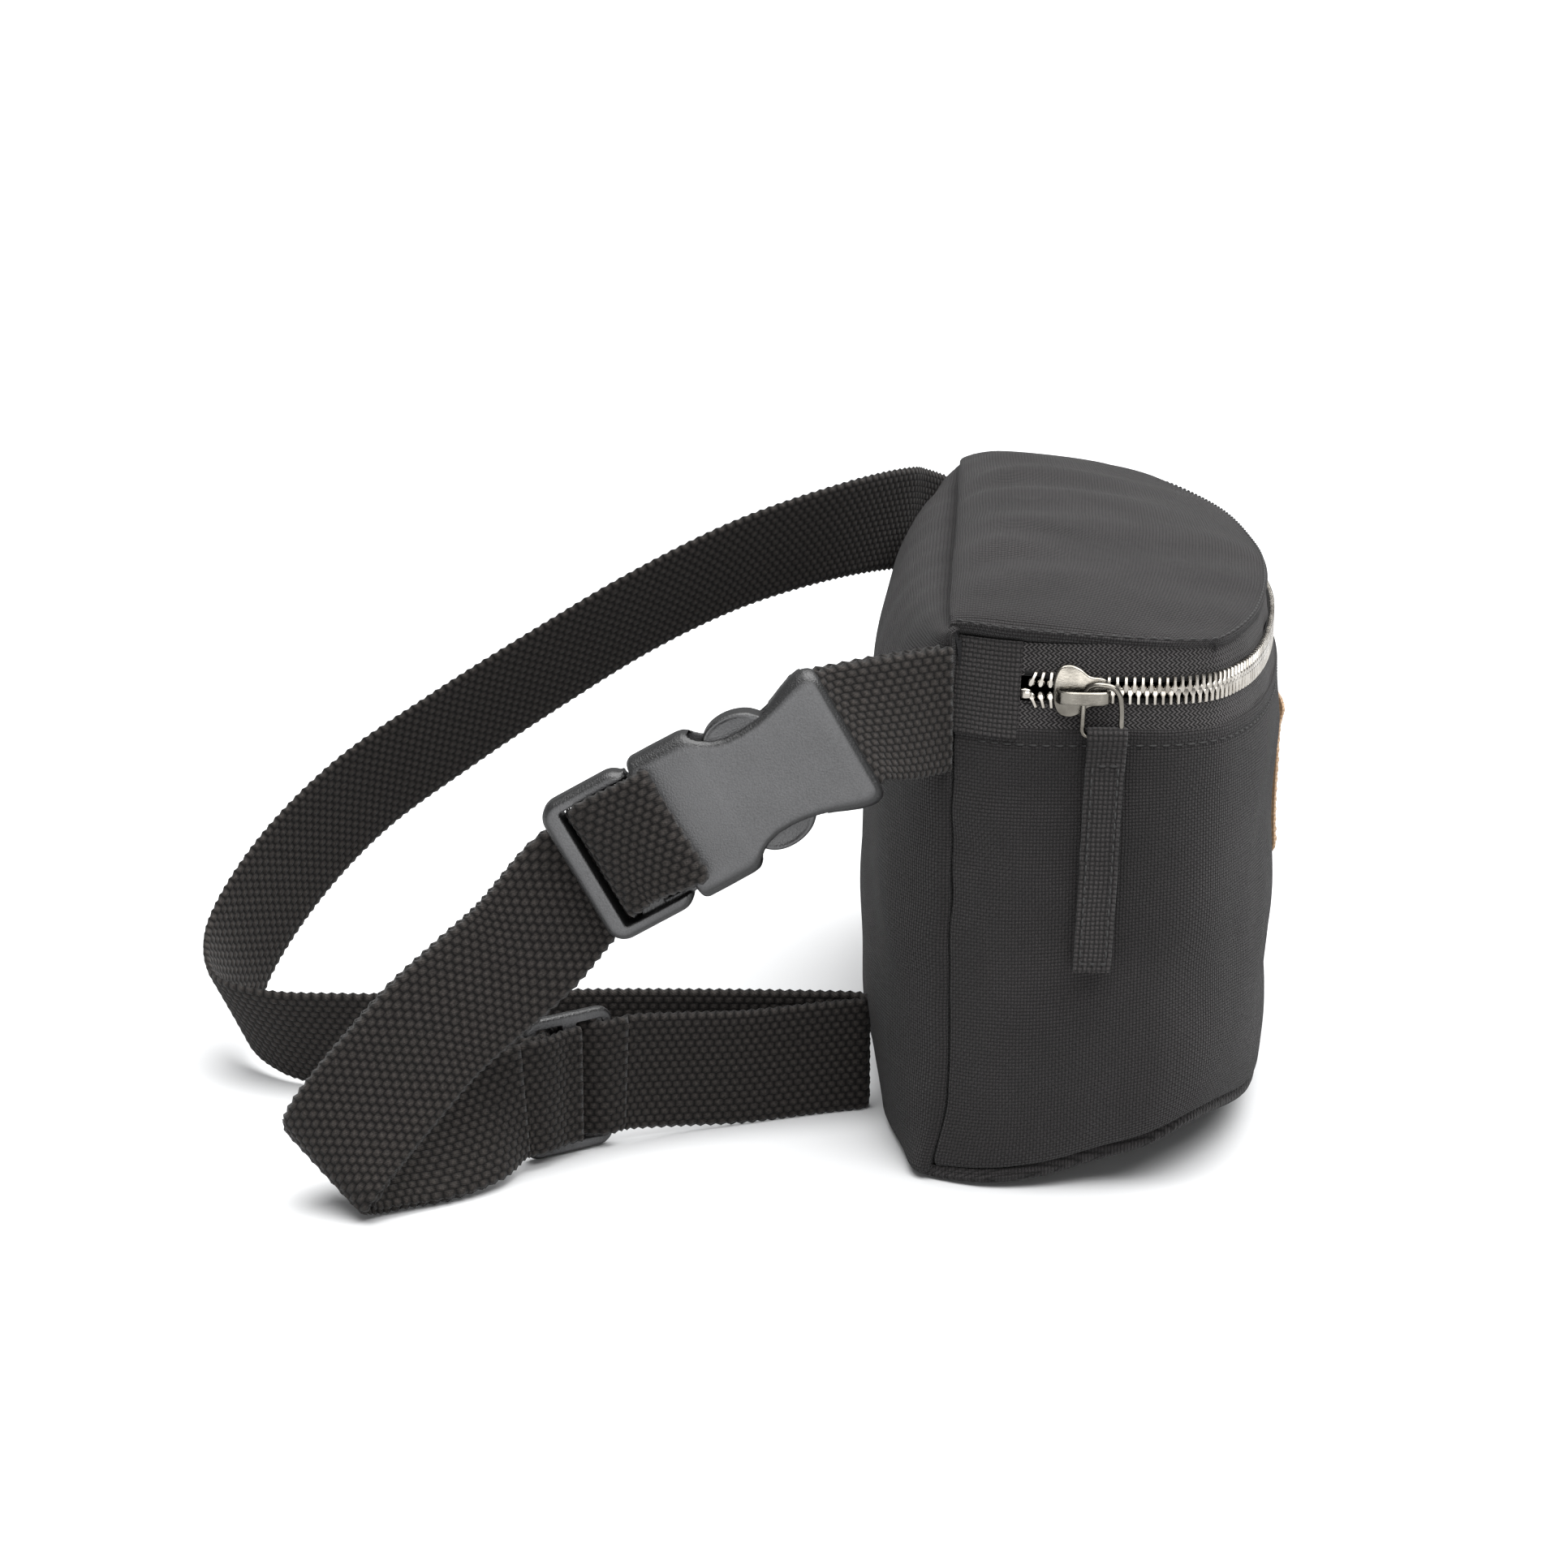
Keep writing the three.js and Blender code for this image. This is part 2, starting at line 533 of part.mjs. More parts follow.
function waistStrap() {
  const route = [
    ...BIG_ARC, ...U_TURN, ...NEAR_RUN, ...adjusterRoute(THROUGH_ADJUSTER), ...FOLD,
    ...throughFitting(BUCKLE_FRAME, BUCKLE_ACROSS, OVER_THE_BAR), ...innerLayer(FOLD).reverse(),
    ...adjusterRoute(LOOSE_END),
  ];
  return ribbon(route, 2, WEBBING.width, WEBBING.thickness);
}

// The short tab leaves the near back seam, turns round the female's bar and comes back behind itself.
const TAB_LAYER = 1.7;
const TAB_OUT = [
  [-116.8, 40.4, 116, 0, 0, 1], [-120, 44, 116, 0, 0.05, 1], [-126.6, 49.4, 116.6, 0, 0.3, 0.95],
  [-133.4, 54.6, 118.4, 0, 0.47, 0.88],
];
const ROUND_THE_BAR = [
  [73.4, -2.8], [71.4, -0.2], [69, 0.6], [66.6, 0.5], [64.7, -0.6], [64.3, -2.2], [64.9, -4], [67.2, -5.1],
  [69, -6.6], [70.8, -8.8],
];
const TAB_BACK = [
  [-132.8, 57.6, 118.2, 0, 0.5, 0.866], [-125, 51.7, 116.6, 0, 0.34, 0.94], [-118.6, 46.6, 116, 0, 0.05, 1],
  [-115.8, 43.8, 116, 0, 0, 1],
];

function tabWebbing() {
  const turn = throughFitting(BUCKLE_FRAME, BUCKLE_ACROSS, ROUND_THE_BAR);
  return ribbon([...TAB_OUT, ...turn, ...TAB_BACK], 3, WEBBING.width, TAB_LAYER);
}

function adjuster() {
  const { length, height, bar, centreBar, thickness } = ADJUSTER;
  const body = plate(roundedRectangle(-length / 2, length / 2, -height / 2, height / 2, 4),
    -thickness / 2, thickness / 2, 0.8);
  const slotHalf = WEBBING.width / 2 + 0.5;
  const slot = (from, to) => box(from, to, -slotHalf, slotHalf, -THROUGH, THROUGH);
  return combine(body, {
    cut: [slot(-length / 2 + bar, -centreBar / 2), slot(centreBar / 2, length / 2 - bar)],
  }).applyMatrix4(ADJUSTER_FRAME);
}

// ---- the assembly -------------------------------------------------------------------------------

addPart("front_panel", frontPanel(), CANVAS);
addPart("back_panel", backPanel(), CANVAS);
addPart("bottom_panel", bottomPanel(), CANVAS);
addPart("lining", lining(), LINING);
addPart("top_panel", topPanel(), CANVAS);
addPart("front_label", label(), CORK);
addPart("zip_end_tab_near", bandStrip(0.004, TAB_END, ZIP.low, ZIP.high, CLOTH, 6), TAPE);
addPart("zip_end_tab_far", bandStrip(1 - TAB_END, 0.996, ZIP.low, ZIP.high, CLOTH, 6), TAPE);
addPart("zip_tape_lower", bandStrip(TAPE_START, 1 - TAPE_START, ZIP.low,
  ZIP.mid - CHAIN.halfWidth - GAP, 1, 60), TAPE);
addPart("zip_tape_upper", bandStrip(TAPE_START, 1 - TAPE_START, ZIP.mid + CHAIN.halfWidth + GAP,
  ZIP.high, 1, 60), TAPE);
addPart("zip_teeth_lower", chainHalf(-1), METAL);
addPart("zip_teeth_upper", chainHalf(1), METAL);
addPart("zip_slider", sliderBody(), METAL);
addPart("slider_eye", sliderEye(), METAL);
addPart("pull_ring", pullRing(), METAL);
addPart("pull_tab", pullTab(), CANVAS);
addPart("buckle_female", buckleFemale(), PLASTIC);
addPart("buckle_male", buckleMale(), PLASTIC);
addPart("prong_upper", prong(1), PLASTIC);
addPart("prong_lower", prong(-1), PLASTIC);
addPart("buckle_tab", tabWebbing(), WEB);
addPart("waist_strap", waistStrap(), WEB);
addPart("strap_adjuster", adjuster(), PLASTIC);

export default pack;
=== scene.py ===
"""Looks of a canvas waist pack with a metal zip, a webbing strap, a side-release buckle and a strap adjuster.

Lengths are millimetres until a mesh is made, and then metres. +X runs along the pack, -Y is its front, +Y the
wearer's side, +Z up, and Z = 0 is the table.
"""
import math

import bmesh
import bpy
import numpy as np
from mathutils import Matrix, Vector


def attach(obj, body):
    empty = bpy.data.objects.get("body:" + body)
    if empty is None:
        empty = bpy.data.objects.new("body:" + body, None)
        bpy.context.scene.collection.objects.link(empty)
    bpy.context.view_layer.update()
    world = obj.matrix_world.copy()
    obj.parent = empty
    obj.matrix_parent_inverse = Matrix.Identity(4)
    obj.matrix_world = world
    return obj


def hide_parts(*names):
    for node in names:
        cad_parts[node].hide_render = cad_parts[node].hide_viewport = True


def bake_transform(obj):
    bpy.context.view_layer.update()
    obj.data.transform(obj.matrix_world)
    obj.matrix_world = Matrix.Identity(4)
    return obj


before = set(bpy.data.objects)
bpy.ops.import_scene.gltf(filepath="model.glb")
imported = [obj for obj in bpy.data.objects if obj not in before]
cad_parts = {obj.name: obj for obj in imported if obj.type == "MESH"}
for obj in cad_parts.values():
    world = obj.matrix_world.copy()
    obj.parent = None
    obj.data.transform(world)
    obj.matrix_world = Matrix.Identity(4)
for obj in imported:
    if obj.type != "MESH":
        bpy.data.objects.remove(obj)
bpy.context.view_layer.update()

MM = 0.001
scene = bpy.context.scene


# ---- camera, light and floor ---------------------------------------------------------------------

def add_camera():
    data = bpy.data.cameras.new("camera")
    data.sensor_width = 36
    data.lens = 78.6
    data.clip_end = 60
    camera = bpy.data.objects.new("camera", data)
    forward = Vector((0.9632, 0.0591, -0.2620)).normalized()
    right = forward.cross(Vector((0, 0, 1))).normalized()
    up = right.cross(forward)
    turn = Matrix((right, up, -forward)).transposed().to_4x4()
    camera.matrix_world = Matrix.Translation((-0.8974, 0.0298, 0.3127)) @ turn
    scene.collection.objects.link(camera)
    scene.camera = camera


def add_softbox(name, at, target, size, power):
    data = bpy.data.lights.new(name, "AREA")
    data.shape = "RECTANGLE"
    data.size, data.size_y = size
    data.energy = power
    lamp = bpy.data.objects.new(name, data)
    toward = Vector(target) - Vector(at)
    lamp.rotation_euler = toward.to_track_quat("-Z", "Y").to_euler()
    lamp.location = at
    scene.collection.objects.link(lamp)


def add_studio():
    world = bpy.data.worlds.new("studio")
    world.use_nodes = True
    sky = world.node_tree.nodes["Background"]
    sky.inputs["Color"].default_value = (0.98, 0.99, 1.0, 1)
    sky.inputs["Strength"].default_value = 0.4
    scene.world = world
    scene.view_settings.view_transform = "Standard"
    scene.view_settings.look = "None"
    overhead = bpy.data.objects.new("overhead", bpy.data.lights.new("overhead", "SUN"))
    overhead.data.energy = 10
    overhead.data.angle = math.radians(75)
    overhead.rotation_euler = Vector((0.12, 0.16, -1)).to_track_quat("-Z", "Y").to_euler()
    scene.collection.objects.link(overhead)
    add_softbox("softbox_front", (-1.5, -0.1, 0.22), (0, 0.08, 0.12), (1.2, 0.4), 9)


# ---- materials -----------------------------------------------------------------------------------

class Shader:
    """A Principled material and short ways to add nodes to it. Values are numbers or output sockets."""

    def __init__(self, name, **constants):
        self.material = bpy.data.materials.new(name)
        self.material.use_nodes = True
        self.tree = self.material.node_tree
        self.surface = self.tree.nodes["Principled BSDF"]
        for socket, value in constants.items():
            self.surface.inputs[socket.replace("_", " ")].default_value = value

    def node(self, kind, inputs, **settings):
        made = self.tree.nodes.new("ShaderNode" + kind)
        for key, value in settings.items():
            setattr(made, key, value)
        for key, value in inputs.items():
            self.put(made.inputs[key], value)
        return made

    def put(self, socket, value):
        if isinstance(value, bpy.types.NodeSocket):
            self.tree.links.new(value, socket)
        else:
            socket.default_value = value

    def finished(self, colour, roughness, normal=None):
        for socket, value in (("Base Color", colour), ("Roughness", roughness), ("Normal", normal)):
            if value is not None:
                self.put(self.surface.inputs[socket], value)
        return self.material

    def math(self, operation, a, b=0.0):
        return self.node("Math", {0: a, 1: b}, operation=operation).outputs[0]

    def plus(self, a, b):
        return self.math("ADD", a, b)

    def times(self, a, b):
        return self.math("MULTIPLY", a, b)

    def wave(self, phase):
        """A sine of the phase, from 0 to 1."""
        return self.span(self.math("SINE", phase), -1, 1, 0, 1)

    def span(self, value, low, high, to_low, to_high):
        inputs = {"Value": value, "From Min": low, "From Max": high, "To Min": to_low, "To Max": to_high}
        return self.node("MapRange", inputs).outputs["Result"]

    def blend(self, share, first, second):
        mix = self.node("Mix", {"Factor": share}, data_type="RGBA")
        self.put(mix.inputs[6], (*first, 1) if isinstance(first, tuple) else first)
        self.put(mix.inputs[7], (*second, 1) if isinstance(second, tuple) else second)
        return mix.outputs[2]

    def noise(self, scale, detail=3.0, stretch=(1, 1, 1), roughness=0.55):
        place = self.node("TexCoord", {}).outputs["Object"]
        moved = self.node("Mapping", {"Vector": place, "Scale": stretch}).outputs[0]
        inputs = {"Vector": moved, "Scale": scale, "Detail": detail, "Roughness": roughness}
        return self.node("TexNoise", inputs).outputs[0]

    def flat(self):
        """Where a point lies on the cloth, in metres along and across it."""
        where = self.node("UVMap", {}, uv_map="cloth").outputs[0]
        parts = self.node("SeparateXYZ", {0: where})
        return parts.outputs[0], parts.outputs[1]

    def bump(self, height, distance, below=None):
        inputs = {"Height": height, "Distance": distance, "Strength": 1.0}
        if below is not None:
            inputs["Normal"] = below
        return self.node("Bump", inputs).outputs[0]

    def weave(self, pitch_u, pitch_v):
        """Height of a plain weave, 0 between the yarns and 1 on their crowns."""
        u, v = self.flat()
        wobble = self.times(self.math("SUBTRACT", self.noise(60), 0.5), 0.9)
        u = self.plus(self.times(u, 1 / pitch_u), wobble)
        v = self.plus(self.times(v, 1 / pitch_v), wobble)
        cells = self.plus(self.math("FLOOR", u), self.math("FLOOR", v))
        over = self.times(self.math("FRACT", self.times(cells, 0.5)), 2.0)
        side = []
        for along in (u, v):
            inputs = {0: self.math("FRACT", along), 1: 2.0, 2: -1.0}
            off = self.node("Math", inputs, operation="MULTIPLY_ADD").outputs[0]
            side.append(self.times(off, off))
        crowns = []
        for across, along in ((side[0], side[1]), (side[1], side[0])):
            round_yarn = self.math("SUBTRACT", 1.0, across)
            dip = self.math("SUBTRACT", 1.0, self.times(along, 0.55))
            crowns.append(self.times(round_yarn, dip))
        pick = self.times(self.math("SUBTRACT", crowns[1], crowns[0]), over)
        return self.plus(crowns[0], pick)

    def pebbles(self, pitch_along, pitch_across):
        """Height of webbing: columns of rounded floats, every other column half a step on."""
        u, v = self.flat()
        along = self.times(u, 2 * math.pi / pitch_along)
        across = self.times(v, 1 / pitch_across)
        phase = self.times(self.math("FLOOR", across), math.pi)
        wave = self.math("COSINE", self.plus(along, phase))
        wave = self.span(wave, -1, 1, 0, 1)
        column = self.math("SINE", self.times(self.math("FRACT", across), math.pi))
        return self.math("POWER", self.times(wave, column), 0.6)


YARN = 0.0008
WEB_WIDTH = 30
PEBBLE_ALONG, PEBBLE_ACROSS = 2.6, WEB_WIDTH / 17


def cloth(name, dark, light, pitch, depth, sheen=0.06):
    """Woven cloth: yarns from nodes, painted lighter on their crowns with painted shade between them, uneven
    colour, and a soft sheen.
    """
    s = Shader(name, Sheen_Weight=sheen, Sheen_Roughness=0.5, Specular_IOR_Level=0.12)
    height = s.weave(pitch, pitch)
    fuzz = s.noise(2600, 2)
    patches = s.noise(28, 4)
    # Painted light and shade: the colour darkens between the yarns and lightens on their crowns, varied by
    # random fuzz.
    lit_crowns_and_fuzz = s.times(height, s.span(fuzz, 0.3, 0.7, 0.55, 1.15))
    yarns = s.blend(lit_crowns_and_fuzz, dark, light)
    colour = s.blend(s.span(patches, 0.35, 0.7, 0.0, 0.35), yarns, dark)
    fine = s.bump(s.plus(height, s.times(fuzz, 0.25)), depth)
    return s.finished(colour, s.span(fuzz, 0.2, 0.8, 0.78, 0.95), s.bump(s.noise(90, 3), 0.0005, fine))


def webbing_material():
    s = Shader("webbing", Sheen_Weight=0.06, Sheen_Roughness=0.45, Specular_IOR_Level=0.12)
    height = s.pebbles(PEBBLE_ALONG * MM, PEBBLE_ACROSS * MM)
    u, v = s.flat()
    yarn = s.math("SINE", s.times(s.plus(s.times(u, 0.5), v), 12000))
    fuzz = s.noise(1900, 3)
    lit = s.times(height, s.span(fuzz, 0.3, 0.7, 0.35, 1.2))
    colour = s.blend(lit, (0.0014, 0.0011, 0.0010), (0.0300, 0.0262, 0.0240))
    strands = s.plus(s.plus(height, s.times(yarn, 0.07)), s.times(fuzz, 0.3))
    return s.finished(colour, s.span(fuzz, 0.2, 0.8, 0.7, 0.95), s.bump(strands, 0.00035))


def plastic_material(name, facing):
    """Moulded plastic: a grained face square to the facing direction, painted paler as if lit from the front,
    and smooth edges painted near black as shade.
    """
    s = Shader(name, Specular_IOR_Level=0.5)
    grain = s.noise(2300, 2)
    rub = s.noise(45, 5)
    normal = s.node("TexCoord", {}).outputs["Normal"]
    # Painted light and shade: the colour depends on which way the surface faces, pale where it is square to
    # the facing direction and near black on the edges.
    square = s.node("VectorMath", {0: normal, 1: tuple(facing)}, operation="DOT_PRODUCT").outputs["Value"]
    face = s.span(s.math("ABSOLUTE", square), 0.86, 0.99, 0, 1)
    speckle = s.plus(s.times(rub, 0.5), s.times(grain, 0.5))
    lit_face_colour = s.blend(s.span(speckle, 0.35, 0.65, 0, 1), (0.030, 0.030, 0.031), (0.060, 0.060, 0.062))
    colour = s.blend(face, (0.0035, 0.0035, 0.0037), lit_face_colour)
    roughness = s.plus(s.span(rub, 0.3, 0.7, 0.34, 0.46), s.times(grain, 0.06))
    return s.finished(colour, roughness, s.bump(grain, 0.00016))


def metal_material(name, bright, dull):
    s = Shader(name, Metallic=1.0)
    scuffs = s.noise(900, 4, stretch=(1, 1, 4))
    # The blotches are partly tarnish and partly painted dark reflections: the dull tone stands in for dark
    # surroundings mirrored in the metal.
    tarnish_and_dark_reflections = s.noise(160, 3)
    colour = s.blend(s.span(tarnish_and_dark_reflections, 0.35, 0.75, 0, 1), bright, dull)
    return s.finished(colour, s.span(scuffs, 0.3, 0.75, 0.14, 0.34), s.bump(scuffs, 0.00002))


def tape_material():
    """Knitted zip tape: small chevrons."""
    s = Shader("zip_tape", Sheen_Weight=0.05, Specular_IOR_Level=0.12)
    u, v = s.flat()
    row = s.times(v, 1 / 0.0013)
    fold = s.math("ABSOLUTE", s.math("SUBTRACT", s.math("FRACT", row), 0.5))
    chevron = s.plus(s.times(u, 1 / 0.00115), s.times(fold, 1.6))
    rib = s.wave(s.times(chevron, 2 * math.pi))
    fuzz = s.noise(2400, 2)
    lit = s.times(rib, s.span(fuzz, 0.3, 0.7, 0.4, 1.1))
    colour = s.blend(lit, (0.001, 0.001, 0.001), (0.062, 0.058, 0.058))
    ridges = s.bump(s.plus(rib, s.times(fold, 0.8)), 0.00018)
    return s.finished(colour, s.span(fuzz, 0.2, 0.8, 0.75, 0.95), ridges)


def jute_material():
    s = Shader("cork_label", Sheen_Weight=0.1, Specular_IOR_Level=0.2)
    height = s.weave(0.0011, 0.0011)
    blotch = s.noise(320, 4)
    fuzz = s.noise(3000, 2)
    tone = s.blend(s.span(blotch, 0.3, 0.7, 0, 1), (0.30, 0.19, 0.11), (0.56, 0.40, 0.26))
    # Painted shade between the yarns: the colour darkens where the weave dips.
    colour = s.blend(s.times(height, 0.6), (0.20, 0.125, 0.07), tone)
    yarns = s.bump(s.plus(height, s.times(fuzz, 0.5)), 0.0002)
    return s.finished(colour, s.span(fuzz, 0.2, 0.8, 0.8, 0.98), yarns)


def thread_material(name, dark, light):
    s = Shader(name, Sheen_Weight=0.05, Specular_IOR_Level=0.3)
    twist = s.noise(3200, 2, stretch=(1, 1, 0.4))
    return s.finished(s.blend(twist, dark, light), s.span(twist, 0.3, 0.7, 0.5, 0.75), s.bump(twist, 0.00006))


def floor_material():
    s = Shader("pale_floor", Specular_IOR_Level=0.1)
    mottle = s.noise(3, 3)
    colour = s.blend(mottle, (0.45, 0.453, 0.457), (0.47, 0.473, 0.477))
    return s.finished(colour, s.span(mottle, 0.3, 0.7, 0.85, 0.95))


CANVAS = cloth("canvas", (0.0009, 0.0008, 0.0008), (0.0308, 0.0281, 0.0287), YARN, 0.0004)
COARSE = cloth("coarse_canvas", (0.0010, 0.0009, 0.0009), (0.0420, 0.0385, 0.0385), 0.00112, 0.00055)
LINING = cloth("lining_cloth", (0.004, 0.004, 0.0043), (0.018, 0.018, 0.019), 0.00042, 0.00008)
WEB = webbing_material()
PLASTIC = plastic_material("buckle_plastic", (1, 0, 0))
ADJUSTER_PLASTIC = plastic_material("adjuster_plastic", (0.785, 0.62, 0))
METAL = metal_material("zip_metal", (0.47, 0.445, 0.405), (0.20, 0.18, 0.155))
# A darker copy of the zip metal for the slider, its bridge and the pull ring: painted shade, standing in for
# the darker reflections they show.
SHADED_METAL = metal_material("slider_metal", (0.19, 0.178, 0.156), (0.07, 0.064, 0.055))
TAPE = tape_material()
JUTE = jute_material()
THREAD = thread_material("thread", (0.003, 0.003, 0.003), (0.020, 0.0195, 0.0195))
TAN_THREAD = thread_material("tan_thread", (0.25, 0.16, 0.09), (0.50, 0.37, 0.25))


# ---- meshes: helpers -----------------------------------------------------------------------------

def add_mesh(name, points, faces, material, uv=None, sharp=50):
    """A mesh from points in millimetres; uv gives each point's place on the cloth, in millimetres."""
    mesh = bpy.data.meshes.new(name)
    mesh.from_pydata((np.asarray(points) * MM).tolist(), [], [list(f) for f in faces])
    if uv is not None:
        layer = mesh.uv_layers.new(name="cloth")
        corners = np.empty(len(mesh.loops), np.int32)
        mesh.loops.foreach_get("vertex_index", corners)
        layer.data.foreach_set("uv", (np.asarray(uv, float) * MM)[corners].astype(np.float32).ravel())
    mesh.materials.append(material)
    mesh.shade_smooth()
    mesh.set_sharp_from_angle(angle=math.radians(sharp))
    mesh.validate()
    piece = bpy.data.objects.new(name, mesh)
    scene.collection.objects.link(piece)
    return piece


def catmull(points, per_span):
    """A centripetal Catmull-Rom curve through the points."""
    p = np.asarray(points, float)
    p = np.vstack([2 * p[0] - p[1], p, 2 * p[-1] - p[-2]])
    t = np.linspace(0, 1, per_span, endpoint=False)[:, None]
    spans = []
    for a, b, c, d in zip(p, p[1:], p[2:], p[3:]):
        k0, k1, k2 = (max(np.linalg.norm(q - r), 1e-6) ** 0.5 for q, r in ((b, a), (c, b), (d, c)))
        m1 = ((b - a) / k0 - (c - a) / (k0 + k1) + (c - b) / k1) * k1
        m2 = ((c - b) / k1 - (d - b) / (k1 + k2) + (d - c) / k2) * k1
        spans.append(b + m1 * t + (3 * (c - b) - 2 * m1 - m2) * t**2 + (2 * (b - c) + m1 + m2) * t**3)
    return np.vstack([*spans, p[-2][None]])


def run_length(points):
    """Distance along a line of points, from its first."""
    steps = np.linalg.norm(np.diff(points, axis=0), axis=-1)
    return np.concatenate([np.zeros((1,) + steps.shape[1:]), np.cumsum(steps, axis=0)])


def clamped(value):
    """The value, held between 0 and 1."""
    return np.clip(value, 0, 1)


def at_lengths(at, length, columns):
    """Rows of columns at distances at, where length gives each row's own distance."""
    return np.stack([np.interp(at, length, column) for column in columns.T], axis=-1)


def unit(v):
    return v / np.maximum(np.linalg.norm(v, axis=-1, keepdims=True), 1e-12)


def grid_normals(grid):
    return unit(np.cross(np.gradient(grid, axis=0), np.gradient(grid, axis=1)))


def spaced(length, step, fine=0.7, margin=3.5):
    """Fractions of a length, closer together near both ends, where cloth turns into its seams."""
    ends = np.arange(0, margin, fine)
    middle = np.linspace(margin, length - margin, max(2, round((length - 2 * margin) / step)) + 1)
    return np.concatenate([ends, middle, length - ends[::-1]]) / length


def hump(distance, width):
    """A bell of height 1 at distance 0, about as wide as width on either side."""
    return np.exp(-((distance / width) ** 2))


def ripple(a, b, shortest, longest, seed, waves=12):
    """Smooth unevenness of about unit size, the same on every run."""
    draw = np.random.default_rng(seed)
    total = np.zeros(np.broadcast(a, b).shape)
    for _ in range(waves):
        turn, phase = draw.uniform(0, 2 * math.pi, 2)
        wave = 2 * math.pi / draw.uniform(shortest, longest)
        total += np.sin(wave * (a * math.cos(turn) + b * math.sin(turn)) + phase)
    return total / math.sqrt(waves / 2)


def rolled(grid, radius, depth, sides):
    """Turns the named borders of a grid inwards, as at a seam. u0 and u1 are the ends of the first axis."""
    sink = np.zeros(grid.shape[:2])
    for axis, side in ((0, "u"), (1, "v")):
        length = run_length(np.moveaxis(grid, axis, 0))
        length = np.moveaxis(length, 0, axis)
        total = np.take(length, [-1], axis=axis)
        for end, distance in (("0", length), ("1", total - length)):
            if side + end in sides:
                near = clamped(1 - distance / radius)
                sink = np.maximum(sink, depth * (1 - np.sqrt(1 - near**2)))
    return grid - grid_normals(grid) * sink[..., None]


def grid_from(u, v):
    """Two arrays over a grid of u and v, u along the first axis."""
    return np.meshgrid(u, v, indexing="ij")


def tube_faces(sides, rows, start=0, closed=False):
    """Quads between neighbouring rings of points, and caps on the first and last unless the rows close."""
    faces = []
    for i in range(rows if closed else rows - 1):
        for k in range(sides):
            a, b = start + i * sides, start + (i + 1) % rows * sides
            faces.append((a + k, a + (k + 1) % sides, b + (k + 1) % sides, b + k))
    if not closed:
        last = start + (rows - 1) * sides
        faces += [tuple(range(start + sides - 1, start - 1, -1)), tuple(range(last, last + sides))]
    return faces


def grid_faces(nu, nv, start=0, flip=False):
    i, j = grid_from(np.arange(nu - 1), np.arange(nv - 1))
    a = start + i * nv + j
    quads = np.stack([a, a + nv, a + nv + 1, a + 1], axis=-1).reshape(-1, 4)
    return quads[:, ::-1] if flip else quads


def cloth_uv(grid):
    u = run_length(grid).mean(axis=1)
    v = run_length(np.moveaxis(grid, 1, 0)).mean(axis=1)
    return np.stack(grid_from(u, v), axis=-1)


def sheet(name, outer, inner, material, uv):
    """A closed sheet of cloth between two grids, joined along their borders."""
    nu, nv = outer.shape[:2]
    count = nu * nv
    faces = [*grid_faces(nu, nv), *grid_faces(nu, nv, count, flip=True)]
    loop = list(range(nv)) + [i * nv + nv - 1 for i in range(1, nu)]
    loop += [(nu - 1) * nv + j for j in range(nv - 2, -1, -1)] + [i * nv for i in range(nu - 2, 0, -1)]
    faces += [(a, b, b + count, a + count) for a, b in zip(loop, loop[1:] + loop[:1])]
    points = np.vstack([outer.reshape(-1, 3), inner.reshape(-1, 3)])
    return add_mesh(name, points, faces, material, np.vstack([uv.reshape(-1, 2)] * 2))


def shell(name, grid, thickness, material):
    """Cloth whose outer face is the grid, with its thickness laid inwards."""
    return sheet(name, grid, grid - grid_normals(grid) * thickness, material, cloth_uv(grid))


CLOTH_FRAMES = 20


def swollen(grid, pressure, cap, held=3):
    """Cloth simulation of one panel, held along its seams while the filling presses it outwards."""
    nu, nv = grid.shape[:2]
    pad = add_mesh("simulated_panel", grid.reshape(-1, 3), grid_faces(nu, nv), CANVAS)
    seam = pad.vertex_groups.new(name="seam")
    i, j = grid_from(np.arange(nu), np.arange(nv))
    edge = (i < held) | (i >= nu - held) | (j < held) | (j >= nv - held)
    seam.add([int(k) for k in np.flatnonzero(edge)], 1.0, "REPLACE")
    modifier = pad.modifiers.new("cloth", "CLOTH")
    modifier.point_cache.frame_start, modifier.point_cache.frame_end = 1, CLOTH_FRAMES
    settings = modifier.settings
    settings.quality = 5
    settings.mass = 0.25
    settings.tension_stiffness = settings.compression_stiffness = 18
    settings.shear_stiffness = 8
    settings.bending_stiffness = 0.6
    settings.use_pressure = True
    settings.uniform_pressure_force = pressure
    settings.vertex_group_mass = "seam"
    settings.effector_weights.gravity = 0
    for number in range(1, CLOTH_FRAMES + 1):
        scene.frame_set(number)
    depsgraph = bpy.context.evaluated_depsgraph_get()
    settled = pad.evaluated_get(depsgraph).to_mesh()
    where = np.empty(len(settled.vertices) * 3)
    settled.vertices.foreach_get("co", where)
    scene.frame_set(1)
    bpy.data.objects.remove(pad)
    move = where.reshape(grid.shape) / MM - grid
    size = np.linalg.norm(move, axis=-1, keepdims=True)
    return grid + move * np.minimum(1, cap / np.maximum(size, 1e-9))


